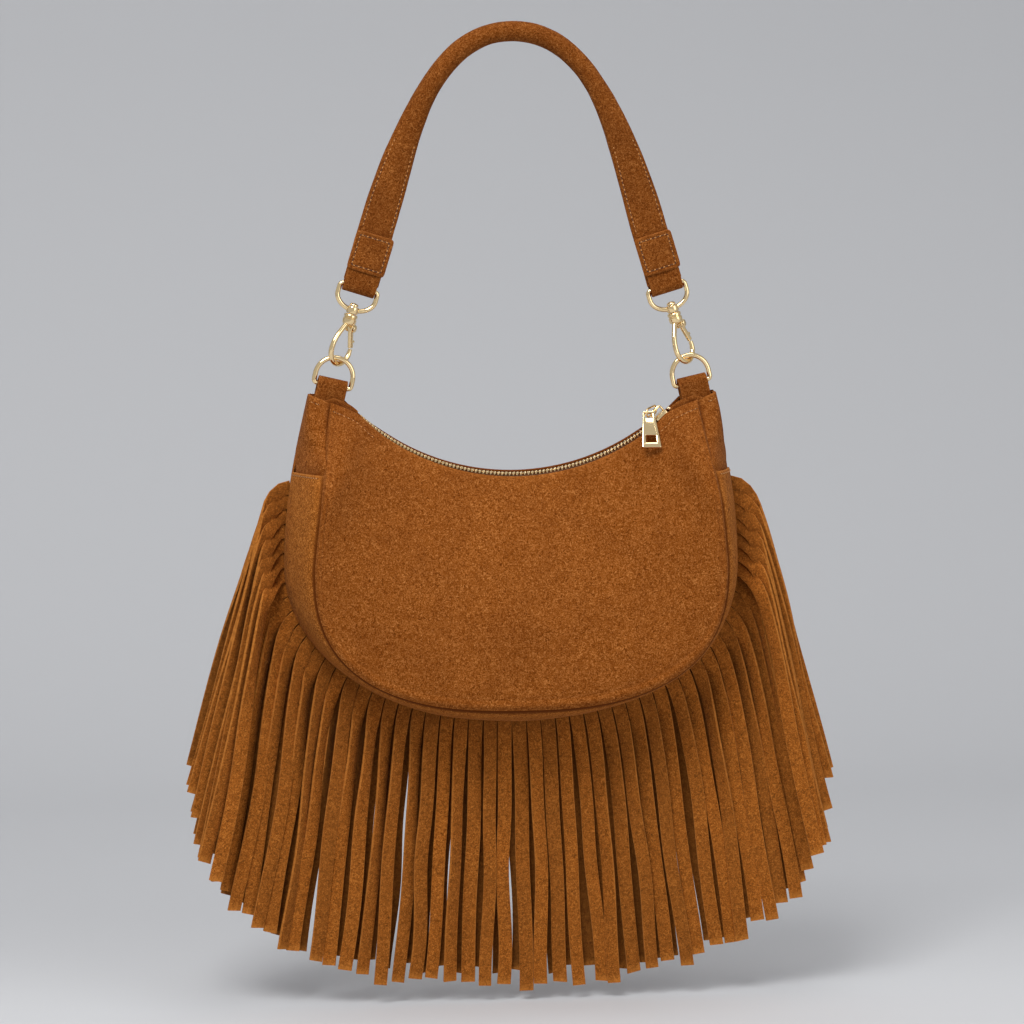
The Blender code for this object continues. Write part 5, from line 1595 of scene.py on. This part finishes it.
@dataclass
class Zip:
    """The zip: its tapes, its two rows of teeth, its stops and its suede ends."""

    palette: Palette
    dresser: Dresser
    shape: BagShape
    frames: SideFrames
    tape_wall: float = 0.9 * MM
    tape_rise: float = -2.0 * MM
    chain_gap: float = 1.1 * MM
    row_width: float = 3.0 * MM
    tooth_height: float = 2.1 * MM
    tooth_pitch: float = 2.35 * MM
    stop_length: float = 2.4 * MM
    stop_height: float = 2.4 * MM
    end_wall: float = 2.0 * MM
    end_length: float = 6.2 * MM
    tab_half: float = 9.1 * MM

    @property
    def chain_rise(self) -> float:
        """The rise of the underside of the teeth."""
        return self.tape_rise + self.tape_wall / 2 + self.shape.gap

    @cached_property
    def end_angle(self) -> float:
        """The angle at which the zip's end piece meets the ring tab."""
        tab = self.frames.ring_bar(Side.RIGHT).inverted()
        low, high = 0.0, math.pi / 2
        for _ in range(50):
            angle = (low + high) / 2
            reach = max((tab @ self.shape.zip_point(angle, self.tape_rise + way * self.end_wall
                                                    / 2, 0.0)).x for way in (-1, 1))
            if reach < -self.tab_half - self.shape.gap:
                low = angle
            else:
                high = angle
        return low

    @property
    def tape_angle(self) -> float:
        """Half the angle of the tapes."""
        return self.end_angle - (self.end_length + self.shape.gap) / self.shape.zip_radius

    @property
    def chain_angle(self) -> float:
        """Half the angle of the rows of teeth."""
        return (self.tape_angle - self.stop_length / self.shape.zip_radius
                - 2 * self.shape.gap / self.shape.zip_radius)

    def build_tape(self, label: str, way: int) -> None:
        """Lay one tape, with a corded edge beside its teeth."""
        outer = self.shape.zip_half_opening - self.shape.gap
        inner = self.chain_gap / 2

        def surface(u: float, v: float) -> Vector:
            across = blend(outer, inner, v)
            cord = 0.25 * MM * bump(v, 0.93, 0.06)
            return self.shape.zip_point(blend(-self.tape_angle, self.tape_angle, u),
                                        self.tape_rise + cord, way * across)

        piece = self.dresser.add(label + "_tape_weave", mapped_grid(160, 10, surface),
                                 self.palette.tape, "bag", Slot.TAPE, (label + "_zip_tape",))
        self.dresser.thicken(piece, self.tape_wall, 0.0)

    def tooth(self) -> bmesh.types.BMesh:
        """Return one tooth: a body clamped on the tape, and a dimpled head to the middle."""
        low, high = 0.0, self.tooth_height
        width = self.tooth_pitch * 0.46
        bm = block_bmesh((width, self.row_width, high - low),
                         Matrix.Translation((0.0, self.row_width / 2, (low + high) / 2)),
                         0.24 * MM, 1)
        head = block_bmesh((width * 0.8, self.chain_gap * 0.7, high * 0.55),
                           Matrix.Translation((0.0, -self.chain_gap * 0.22, high * 0.5)),
                           0.18 * MM, 1)
        join_bmesh(bm, head)
        return bm

    def build_teeth(self, label: str, way: int, offset: float) -> None:
        """Set one row of teeth, each between two of the other row.

        Args:
            label: The row's name.
            way: -1 for the front row, 1 for the back.
            offset: Share of the pitch that the row is moved by.
        """
        row = bmesh.new()
        step = self.tooth_pitch / self.shape.zip_radius
        count = int(2 * self.chain_angle / step)
        near = self.chain_gap / 2
        for index in range(count - 1):
            angle = (index - (count - 2) / 2 + offset) * step
            place = (self.shape.zip_frame(angle) @ Matrix.Translation(
                (0.0, way * near, self.chain_rise)))
            tooth = self.tooth()
            if way < 0:
                tooth.transform(Matrix.Diagonal((1.0, -1.0, 1.0, 1.0)))
                bmesh.ops.reverse_faces(tooth, faces=tooth.faces)
            join_bmesh(row, tooth, place)
        self.dresser.add(label + "_tooth_row", row, self.palette.gold, "bag", Slot.GOLD,
                         (label + "_zip_teeth",))

    def build_stop(self, name: str, node: str, angle: float, low: float, high: float) -> None:
        """Clamp a rounded stop on the tapes."""
        size = (self.stop_length - 2 * self.shape.gap, high - low, self.stop_height)
        place = self.shape.zip_frame(angle) @ Matrix.Translation(
            (0.0, (low + high) / 2, self.chain_rise + self.stop_height / 2))
        self.dresser.add(name, block_bmesh(size, place, 0.4 * MM, 3), self.palette.gold, "bag",
                         Slot.GOLD, (node,))

    def build_end(self, side: Side) -> None:
        """Close one end of the zip with suede."""
        start = self.tape_angle + self.shape.gap / self.shape.zip_radius
        outer = self.shape.zip_half_opening - self.shape.gap

        def surface(u: float, v: float) -> Vector:
            angle = side.value * blend(start, self.end_angle, u)
            pillow = 0.25 * MM * math.sin(math.pi * v)
            return self.shape.zip_point(angle, self.tape_rise + pillow,
                                        side.value * blend(-outer, outer, v))

        piece = self.dresser.add(side.label + "_zip_end_fold", mapped_grid(10, 12, surface),
                                 self.palette.panel, "bag", Slot.SUEDE,
                                 (side.label + "_zip_end",))
        self.dresser.thicken(piece, self.end_wall, 0.4 * MM)

    def build(self) -> None:
        """Make the zip."""
        for label, way, offset in (("front", -1, -0.25), ("back", 1, 0.25)):
            self.build_tape(label, way)
            self.build_teeth(label, way, offset)
        angle = self.chain_angle + (self.stop_length / 2 + self.shape.gap) / self.shape.zip_radius
        near = self.chain_gap / 2
        far = near + self.row_width
        self.build_stop("bottom_stop_block", "zip_bottom_stop", -angle, -far, far)
        self.build_stop("front_stop_block", "front_top_stop", angle, -far, -near)
        self.build_stop("back_stop_block", "back_top_stop", angle, near, far)
        for side in Side:
            self.build_end(side)


@dataclass
class Puller:
    """The slider, its link and the plate that is pulled."""

    palette: Palette
    dresser: Dresser
    zipper: Zip
    shape: BagShape
    rest: float = 0.9 * MM
    length: float = 9.6 * MM
    plate: float = 1.1 * MM
    flange: float = 0.7 * MM
    bail_wire: float = 1.4 * MM
    bail_height: float = 3.7 * MM
    bail_span: float = 7.8 * MM
    link_wire: float = 1.3 * MM
    link_inner: float = 1.9 * MM
    link_straight: float = 9.2 * MM
    link_ease: float = 0.8 * MM
    link_yaw: float = math.radians(55.0)
    link_dip: float = math.radians(9.0)
    pull_length: float = 25.0 * MM
    top_width: float = 7.0 * MM
    bottom_width: float = 12.0 * MM
    pull_wall: float = 1.6 * MM
    pull_bar: float = 1.6 * MM
    slot_size: tuple[float, float] = (4.8 * MM, 3.4 * MM)
    window_size: tuple[float, float] = (6.8 * MM, 5.0 * MM)
    window_rise: float = 3.4 * MM
    pull_lean: float = math.radians(30.0)

    @property
    def deck(self) -> float:
        """The rise of the underside of the top plate."""
        return self.zipper.chain_rise + self.zipper.tooth_height + self.shape.gap

    @cached_property
    def frame(self) -> Matrix:
        """The frame at the middle of the slider."""
        angle = self.zipper.chain_angle - (self.length / 2 + self.rest) / self.shape.zip_radius
        return self.shape.zip_frame(angle)

    @property
    def bail_rise(self) -> float:
        """The rise of the middle of the bail's bar."""
        return self.deck + self.plate + self.bail_height

    @property
    def play(self) -> float:
        """How far each end of the link lies from what it holds, centre to centre."""
        return self.link_inner - self.bail_wire / 2 - self.link_ease

    @cached_property
    def link_frame(self) -> Matrix:
        """The frame at the bail's bar, with X along the link."""
        turn = Matrix.Rotation(math.pi + self.link_yaw, 4, "Z") @ Matrix.Rotation(
            self.link_dip, 4, "Y")
        return Matrix.Translation(self.frame @ Vector((0.0, 0.0, self.bail_rise))) @ turn

    @cached_property
    def pull_frame(self) -> Matrix:
        """The frame at the top bar of the plate."""
        seat = 2 * self.play + self.link_straight - self.link_wire / 2
        return Matrix.Translation(self.link_frame @ Vector((seat, 0.0, 0.0))) @ Matrix.Rotation(
            -self.pull_lean, 4, "X")

    def plate_bmesh(self, outline: Sequence[Sequence[tuple[float, float]]], wall: float,
                    edge: float) -> bmesh.types.BMesh:
        """Return a flat plate with holes and bevelled edges, standing in its XZ plane.

        Args:
            outline: The outer loop and the loops of the holes, as x and z.
            wall: The plate's thickness.
            edge: Width of the bevel.

        Returns:
            The plate.
        """
        bm = bmesh.new()
        bm.loops.layers.uv.new("UVMap")
        bm.verts.layers.float.new("rim")
        edges = []
        for loop in outline:
            verts = [bm.verts.new((x, -wall / 2, z)) for x, z in loop]
            edges += [bm.edges.new(pair) for pair in zip(verts, verts[1:] + verts[:1])]
        bmesh.ops.triangle_fill(bm, edges=edges, use_beauty=True)
        grown = bmesh.ops.extrude_face_region(bm, geom=bm.faces[:], use_keep_orig=True)
        moved = [item for item in grown["geom"] if isinstance(item, bmesh.types.BMVert)]
        bmesh.ops.translate(bm, verts=moved, vec=(0.0, wall, 0.0))
        bmesh.ops.recalc_face_normals(bm, faces=bm.faces)
        sharp = [side for side in bm.edges if len(side.link_faces) == 2
                 and abs(side.calc_face_angle()) > math.radians(60.0)
                 and abs(side.verts[0].co.y - side.verts[1].co.y) < wall / 4]
        bmesh.ops.bevel(bm, geom=sharp, offset=edge, segments=2, profile=0.5, affect="EDGES",
                        material=-1)
        return bm

    @staticmethod
    def rounded_loop(corners: Sequence[tuple[float, float]], radius: float
                     ) -> list[tuple[float, float]]:
        """Return a polygon with rounded corners."""
        loop = []
        count = len(corners)
        for index, corner in enumerate(corners):
            point = Vector(corner)
            before = (Vector(corners[index - 1]) - point).normalized()
            after = (Vector(corners[(index + 1) % count]) - point).normalized()
            for k in range(5):
                share = k / 4
                curve = (point + before * radius * (1 - share) ** 2
                         + after * radius * share ** 2)
                loop.append((curve.x, curve.y))
        return loop

    def build_slider(self) -> None:
        """Make the slider: a shaped plate above and below, its flanges, post and bail."""
        zipper = self.zipper
        flange_y = zipper.chain_gap / 2 + zipper.row_width + self.shape.gap
        width = 2 * (flange_y + self.flange)
        deck = self.deck
        half = self.length / 2
        loop = self.rounded_loop([(-half, -width * 0.36), (-half * 0.2, -width / 2),
                                  (half, -width / 2), (half, width / 2),
                                  (-half * 0.2, width / 2), (-half, width * 0.36)], 0.9 * MM)
        stand = Matrix.Rotation(math.pi / 2, 4, "X")
        bm = self.plate_bmesh([loop], self.plate, 0.25 * MM)
        bm.transform(Matrix.Translation((0.0, 0.0, deck + self.plate / 2)) @ stand)
        tape_top = zipper.tape_rise + zipper.tape_wall / 2 + self.shape.gap
        lower_top = zipper.tape_rise - zipper.tape_wall / 2 - self.shape.gap
        height = deck + self.plate / 2 - tape_top
        for way in (-1, 1):
            place = Matrix.Translation((half * 0.1, way * (flange_y + self.flange / 2),
                                        tape_top + height / 2))
            join_bmesh(bm, block_bmesh((self.length * 0.86, self.flange, height), place,
                                       0.15 * MM))
        lower = self.plate_bmesh([loop], self.plate, 0.25 * MM)
        join_bmesh(bm, lower, Matrix.Translation((0, 0, lower_top - self.plate / 2)) @ stand)
        post_height = deck - lower_top + self.plate
        post = Matrix.Translation((half - 2.1 * MM, 0.0, (deck + lower_top) / 2))
        join_bmesh(bm, block_bmesh((3.0 * MM, zipper.chain_gap - 2 * self.shape.gap,
                                    post_height), post, 0.1 * MM, 1))
        rise, corner = self.bail_rise, self.bail_height * 0.4
        span = self.bail_span / 2
        arch = [Vector((-span, 0.0, deck + self.plate / 2))]
        arch += arc_points((-span + corner, rise - corner), corner, corner, math.pi,
                           math.pi / 2, 10)
        arch += arc_points((span - corner, rise - corner), corner, corner, math.pi / 2, 0.0, 10)
        arch.append(Vector((span, 0.0, deck + self.plate / 2)))
        join_bmesh(bm, tube_bmesh(arch, self.bail_wire / 2, closed=False, sides=14))
        bm.transform(self.frame)
        self.dresser.add("slider_body", bm, self.palette.gold, "slider", Slot.GOLD,
                         ("zip_slider",))

    def build_link(self) -> None:
        """Bend the oval link."""
        radius = self.link_inner + self.link_wire / 2
        near = self.play
        points = arc_points((near, 0.0), radius, radius, math.pi / 2, 3 * math.pi / 2, 24)
        points += arc_points((near + self.link_straight, 0.0), radius, radius, -math.pi / 2,
                             math.pi / 2, 24)
        bm = tube_bmesh(points, self.link_wire / 2, closed=True, sides=16)
        bm.transform(self.link_frame)
        self.dresser.add("oval_link", bm, self.palette.gold, "link", Slot.GOLD, ("pull_link",))

    def build_plate(self) -> None:
        """Make the tapered plate with its slot and its window."""
        top = self.pull_bar / 2
        low = top - self.pull_length
        outer = self.rounded_loop([(-self.top_width / 2, top), (self.top_width / 2, top),
                                   (self.bottom_width / 2, low), (-self.bottom_width / 2, low)],
                                  1.1 * MM)

        def hole(size: tuple[float, float], z: float) -> list[tuple[float, float]]:
            w, h = size[0] / 2, size[1] / 2
            return self.rounded_loop([(-w, z + h), (w, z + h), (w, z - h), (-w, z - h)],
                                     0.5 * MM)

        slot_z = -self.pull_bar / 2 - self.slot_size[1] / 2
        window_z = low + self.window_rise + self.window_size[1] / 2
        bm = self.plate_bmesh([outer, hole(self.slot_size, slot_z),
                               hole(self.window_size, window_z)], self.pull_wall, 0.35 * MM)
        bm.transform(self.pull_frame)
        self.dresser.add("pull_plate", bm, self.palette.gold, "pull", Slot.GOLD, ("pull_tab",))

    def build(self) -> None:
        """Make the slider, the link and the plate."""
        self.build_slider()
        self.build_link()
        self.build_plate()


@dataclass
class FringeLayer:
    """One strip of suede, cut into strands and hung from the back seam."""

    name: str
    node: str
    depth: float
    rise: float
    shift: float
    way: float
    seed: int


@dataclass
class Fringe:
    """Both layers of the fringe."""

    palette: Palette
    dresser: Dresser
    shape: BagShape
    strands: int = 54
    fill: float = 0.95
    wall: float = 1.8 * MM
    start_z: float = -268.0 * MM
    header: float = 6.0 * MM
    rim: float = 0.2 * MM
    flare: float = 63.0 * MM
    end_z: float = -455.0 * MM
    half_width: float = 197.9 * MM
    end_depth: float = 130.0 * MM
    end_power: float = 2.55
    side_strands: int = 7
    turn: float = 0.1
    level_step: float = 2.1 * MM
    rear_rise: float = 7.0 * MM
    rear_ease: float = 2.6 * MM
    # How much painted shade darkens the rear layer, so that the gaps between the outer strands look
    # dark.
    rear_painted_shade: float = 0.56
    tone_reach: float = 0.44
    lean: float = math.radians(15.5)
    droop: float = 0.16
    arch: tuple[float, float] = (0.10, 0.115)
    fall: float = 0.72

    @cached_property
    def first(self) -> float:
        """How far along the seam the fringe starts."""
        return self.shape.back_half.distance_of_height(self.start_z)

    @cached_property
    def pitch(self) -> float:
        """From strand to strand along the seam."""
        return (self.shape.back_seam.length - 2 * self.first) / self.strands

    def end_height(self, x: float, rise: float) -> float:
        """Return the height of a strand's end at x."""
        share = min(abs(x) / self.half_width, 1.0)
        reach = (1.0 - share ** self.end_power) ** (1 / self.end_power)
        return self.end_z - self.end_depth * reach + rise

    def level(self, place: int) -> int:
        """Return how many strands deep a strand hangs, by its place from the nearer side."""
        if place < self.side_strands:
            return place + 1
        return place % 2

    def strand_line(self, distance: float, rise: float, rng: random.Random
                    ) -> tuple[Line, float]:
        """Return one strand's line in the front view.

        Args:
            distance: Of its root along the seam.
            rise: How much shorter its layer is.
            rng: The source of its small differences.

        Returns:
            The line, and the strand's share of the way from the side to the middle.
        """
        seam = self.shape.back_seam
        root, along = seam.at(distance), seam.tangent(distance)
        outward = Vector((along.y, -along.x))
        side = -1.0 if root.x < 0 else 1.0
        from_side = min(distance, seam.length - distance) - self.first
        share = min(max(from_side / (seam.length / 2 - self.first), 0.0), 1.0)
        end_x = abs(root.x) + self.flare * (1.0 - share) ** 0.9
        drift = (0.7 + 1.9 * smoothstep(share, 0.0, 0.35)) * MM
        drift += rng.uniform(-2.2, 2.2) * MM * smoothstep(share, 0.03, 0.12)
        length = rng.uniform(-6.0, 3.0) * MM
        end = Vector((side * end_x + drift, self.end_height(end_x, rise) + length))
        lean = self.lean * (1.0 - share) ** 0.75 + math.radians(rng.uniform(-1, 1))
        drop = (root - end).length
        down = Vector((side * math.sin(lean), -math.cos(lean)))
        sag = (outward - Vector((0.0, self.droop * abs(outward.x)))).normalized()
        arch = blend(*self.arch, 1.0 - share) * drop * rng.uniform(0.9, 1.06)
        points = interpolate_bezier(root + outward * self.rim, root + sag * arch,
                                    end - down * drop * self.fall, end, 60)
        return Line(points), share

    def strand(self, layer: FringeLayer, index: int, count: int, rng: random.Random
               ) -> tuple[bmesh.types.BMesh, float]:
        """Return one strand as a thick ribbon, and its length.

        Args:
            layer: The layer that it belongs to.
            index: Its place from the left.
            count: Strands in the layer.
            rng: The source of its small differences.

        Returns:
            The ribbon and its length.
        """
        distance = self.first + self.pitch * (index + 0.5 + layer.shift)
        line, share = self.strand_line(distance, layer.rise, rng)
        root = self.shape.back_seam.at(distance)
        side = -1.0 if root.x < 0 else 1.0
        root_y = self.shape.back_seam_y(root.y) + layer.depth
        level = self.level(min(index, count - 1 - index))
        hang_y = self.shape.back_y + layer.depth + layer.way * level * self.level_step
        hang_y += self.rear_ease if layer.way > 0 else 0.0
        width = self.pitch * self.fill * rng.uniform(0.92, 1.03)
        section = rounded_section(width, self.wall, 0.4 * MM, 2)
        last = len(section) - 1
        tall = 1.0 - share
        turn_in = math.radians(rng.uniform(44.0, 74.0)) * tall ** 0.8
        stay = rng.uniform(0.05, 0.6)
        wander = math.radians(rng.choice((-1, 1)) * rng.uniform(6.0, 26.0))
        phase = rng.uniform(0.0, math.tau)
        waves = rng.uniform(0.7, 1.6)
        sway = rng.uniform(0.4, 1.3) * MM
        slant = rng.uniform(-0.5, 0.5) * MM

        def centre(v: float) -> Vector:
            spot = line.at(line.length * v)
            free = smoothstep(v, 0.15, 0.6)
            x = spot.x + sway * free * math.sin(phase + waves * math.tau * v)
            y = blend(root_y, hang_y, smoothstep(v, 0.0, self.turn))
            y += 0.35 * MM * free * math.sin(phase * 2.0 + math.tau * v)
            return Vector((x, y, spot.y))

        def ribbon(u: float, v: float) -> Vector:
            x, y = section[round(u * last)]
            spot = centre(v)
            along = (centre(min(v + 0.02, 1.0)) - centre(max(v - 0.02, 0.0))).normalized()
            flat = Vector((-along.z, 0.0, along.x)).normalized()
            through = along.cross(flat).normalized()
            twist = side * turn_in * smoothstep(v, 0.04, 0.15) * blend(
                1.0, stay, smoothstep(v, 0.22, 0.7))
            twist += wander * smoothstep(v, 0.04, 0.3) * math.sin(phase + 3.0 * v)
            across = flat * math.cos(twist) + through * math.sin(twist)
            deep = through * math.cos(twist) - flat * math.sin(twist)
            tip = along * (slant * x / width * 2.0) * smoothstep(v, 0.93, 1.0)
            return spot + across * x + deep * y + tip

        # The rim mark lightens each strand's cut sides and tip: cut suede, with a painted highlight
        # along the edges.
        def cut(u: float, v: float) -> float:
            x, _ = section[round(u * last)]
            return max(smoothstep(abs(x), width / 2 - 0.6 * MM, width / 2 - 0.1 * MM),
                       smoothstep(v, 0.985, 1.0))

        # Each strand's random tone is its own; the rear layer's added darkness and the darker root
        # under the seam are painted shade.
        tone = rng.uniform(0.0, self.tone_reach) ** 1.3
        tone += self.rear_painted_shade if layer.way > 0 else 0.0
        bm = mapped_grid(last, 34, ribbon, tube=True, capped=True, rim=cut,
                         shade=lambda u, v: tone + 0.15 * (1.0 - smoothstep(v, 0.0, 0.1)))
        return bm, line.length

    def header_bmesh(self, layer: FringeLayer) -> bmesh.types.BMesh:
        """Return the uncut strip that is sewn into the seam."""
        seam, shape = self.shape.back_seam, self.shape
        section = rounded_section(self.header + self.rim, self.wall, 0.3 * MM, 1)
        last = len(section) - 1
        middle = (self.rim - self.header) / 2

        def strip(u: float, v: float) -> Vector:
            out, deep = section[round(u * last)]
            distance = blend(self.first, seam.length - self.first, v)
            point, along = seam.at(distance), seam.tangent(distance)
            spot = point + Vector((along.y, -along.x)) * (middle + out)
            return Vector((spot.x, shape.back_seam_y(point.y) + layer.depth + deep, spot.y))

        # The header is painted 0.6 dark: painted shade inside the seam.
        return mapped_grid(last, 180, strip, tube=True, capped=True, shade=lambda u, v: 0.6)

    def build_layer(self, layer: FringeLayer) -> None:
        """Cut one layer's strands and hang them."""
        rng = random.Random(layer.seed)
        count = self.strands if layer.shift == 0.0 else self.strands - 1
        bm = self.header_bmesh(layer)
        area, longest = 0.0, 0.0
        for index in range(count):
            ribbon, length = self.strand(layer, index, count, rng)
            join_bmesh(bm, ribbon)
            area += length * self.pitch * self.fill
            longest = max(longest, length)
        strip = self.shape.back_seam.length - 2 * self.first
        area += strip * (self.header + self.rim)
        piece = self.dresser.add(layer.name, bm, self.palette.fringe, "bag", Slot.FRINGE,
                                 (layer.node,))

    def build(self) -> None:
        """Hang both layers."""
        outer = self.shape.seam_ease + self.shape.fringe_wall / 2
        rear = outer + self.shape.gap + self.shape.fringe_wall
        self.build_layer(FringeLayer("outer_fringe_strip", "outer_fringe", outer, 0.0, 0.0,
                                     -1.0, 11))
        self.build_layer(FringeLayer("rear_fringe_strip", "rear_fringe", rear, self.rear_rise,
                                     0.5, 1.0, 23))


@dataclass
class Studio:
    """The pale sweep, the soft lamps, the world and the camera."""

    floor_z: float = -0.597
    wall_y: float = 1.5
    sweep: float = 0.7
    # One paper in two colours: the wall darker and the floor lighter, painted light.
    wall: Colour = (0.474, 0.480, 0.494)
    floor: Colour = (0.545, 0.550, 0.562)
    target: tuple[float, float, float] = (-0.0009, 0.0, -0.289)
    azimuth: float = math.radians(-8.5)
    elevation: float = math.radians(5.0)
    distance: float = 2.4
    frame_width: float = 0.633
    far_wall: Colour = (0.500, 0.506, 0.520)
    sensor: float = 36.0
    lamps: tuple[tuple[str, tuple[float, float, float], float, float], ...] = (
        ("key_lamp", (-0.9, -1.7, 1.7), 1.1, 52.0),
        ("fill_lamp", (1.6, -2.0, 0.3), 1.5, 13.0),
        ("top_lamp", (0.1, -0.3, 1.9), 1.2, 14.0),
    )

    def build_sweep(self) -> None:
        """Make the floor and the wall as one seamless sheet."""
        profile = [(-3.5, self.floor_z), (self.wall_y - self.sweep, self.floor_z)]
        for k in range(1, 17):
            angle = math.pi / 2 * k / 16
            profile.append((self.wall_y - self.sweep + self.sweep * math.sin(angle),
                            self.floor_z + self.sweep * (1.0 - math.cos(angle))))
        profile.append((self.wall_y, 3.0))
        last = len(profile) - 1

        def sheet(u: float, v: float) -> Vector:
            y, z = profile[round(v * last)]
            return Vector(((u - 0.5) * 9.0, y, z))

        material = bpy.data.materials.new("pale_paper")
        material.use_nodes = True
        board = Board(material.node_tree)
        shader = material.node_tree.nodes["Principled BSDF"]
        place = board.add("ShaderNodeTexCoord").outputs["Object"]
        grain = board.spread(board.noise(place, 3.0, 2.0, 0.5, 0.0), 0.3, 0.7, -0.02, 0.02)
        depth = board.add("ShaderNodeSeparateXYZ", {0: place}).outputs["Y"]
        back = board.add("ShaderNodeMapRange", {
            "Value": board.math("ADD", depth, grain), "From Min": -0.05, "From Max": 0.36},
            interpolation_type="SMOOTHSTEP").outputs[0]
        # Painted light: the floor part of the sheet is lighter than its wall, as if more light fell
        # on it.
        board.tree.links.new(board.mix(back, rgba(self.floor), rgba(self.wall)),
                             shader.inputs["Base Color"])
        shader.inputs["Roughness"].default_value = 0.9
        clear = board.add("ShaderNodeBsdfTransparent").outputs[0]
        outside = board.add("ShaderNodeNewGeometry").outputs["Backfacing"]
        either = board.add("ShaderNodeMixShader", {0: outside, 1: shader.outputs[0], 2: clear})
        board.tree.links.new(either.outputs[0],
                             material.node_tree.nodes["Material Output"].inputs[0])
        mesh = bpy.data.meshes.new("paper_sweep")
        bm = mapped_grid(8, last, sheet)
        bm.to_mesh(mesh)
        bm.free()
        mesh.shade_smooth()
        mesh.materials.append(material)
        paper = bpy.data.objects.new("paper_sweep", mesh)
        bpy.context.scene.collection.objects.link(paper)

    def build_lamps(self) -> None:
        """Hang the soft lamps, each turned to the bag."""
        aim = Vector(self.target)
        for name, place, size, power in self.lamps:
            lamp = bpy.data.lights.new(name, "AREA")
            lamp.shape = "SQUARE"
            lamp.size = size
            lamp.energy = power
            holder = bpy.data.objects.new(name, lamp)
            bpy.context.scene.collection.objects.link(holder)
            holder.visible_camera = False
            holder.location = place
            holder.rotation_euler = (aim - Vector(place)).to_track_quat("-Z", "Y").to_euler()

    def build_world(self) -> None:
        """Light the room softly, brighter above than below."""
        world = bpy.data.worlds.new("soft_room")
        bpy.context.scene.world = world
        world.use_nodes = True
        board = Board(world.node_tree)
        way = board.add("ShaderNodeTexCoord").outputs["Generated"]
        height = board.add("ShaderNodeSeparateXYZ", {0: way}).outputs["Z"]
        ramp = board.add("ShaderNodeValToRGB", {0: board.spread(height, -1.0, 1.0)})
        stops = ((0.0, 0.05), (0.46, 0.07), (0.58, 0.26), (0.72, 0.62), (1.0, 0.50))
        bands = ramp.color_ramp.elements
        while len(bands) < len(stops):
            bands.new(0.5)
        for band, (position, level) in zip(bands, stops):
            band.position = position
            band.color = (level, level, level * 1.02, 1.0)
        ground = world.node_tree.nodes["Background"]
        path = board.add("ShaderNodeLightPath")
        shown = board.math("MAXIMUM", path.outputs["Is Camera Ray"],
                           path.outputs["Is Glossy Ray"])
        board.tree.links.new(board.mix(shown, ramp.outputs[0], rgba(self.far_wall)),
                             ground.inputs["Color"])

    def build_camera(self) -> None:
        """Set the camera at the photograph's angle."""
        camera = bpy.data.cameras.new("photo_camera")
        camera.sensor_width = self.sensor
        camera.lens = self.sensor * self.distance / self.frame_width
        holder = bpy.data.objects.new("photo_camera", camera)
        bpy.context.scene.collection.objects.link(holder)
        back = Vector((math.sin(self.azimuth) * math.cos(self.elevation),
                       -math.cos(self.azimuth) * math.cos(self.elevation),
                       math.sin(self.elevation)))
        holder.location = Vector(self.target) + back * self.distance
        holder.rotation_euler = back.to_track_quat("Z", "Y").to_euler()
        bpy.context.scene.camera = holder
        bpy.context.scene.view_settings.view_transform = "Standard"

    def build(self) -> None:
        """Set up the studio."""
        self.build_sweep()
        self.build_lamps()
        self.build_world()
        self.build_camera()


def main() -> None:
    """Dress the whole bag in order."""
    logging.basicConfig(level=logging.INFO, format="%(name)s: %(message)s")
    Studio().build()
    palette, dresser = Palette(), Dresser()
    shape, frames = BagShape(), SideFrames()
    stitcher = Stitcher(palette, dresser)
    Handle(palette, dresser, stitcher, frames).build()
    SideFittings(palette, dresser, frames).build()
    BagBody(palette, dresser, stitcher, frames, shape).build()
    zipper = Zip(palette, dresser, shape, frames)
    zipper.build()
    Puller(palette, dresser, zipper, shape).build()
    Fringe(palette, dresser, shape).build()
    LOG.info("%d pieces", len(dresser.made))


if __name__ == "__main__":
    main()
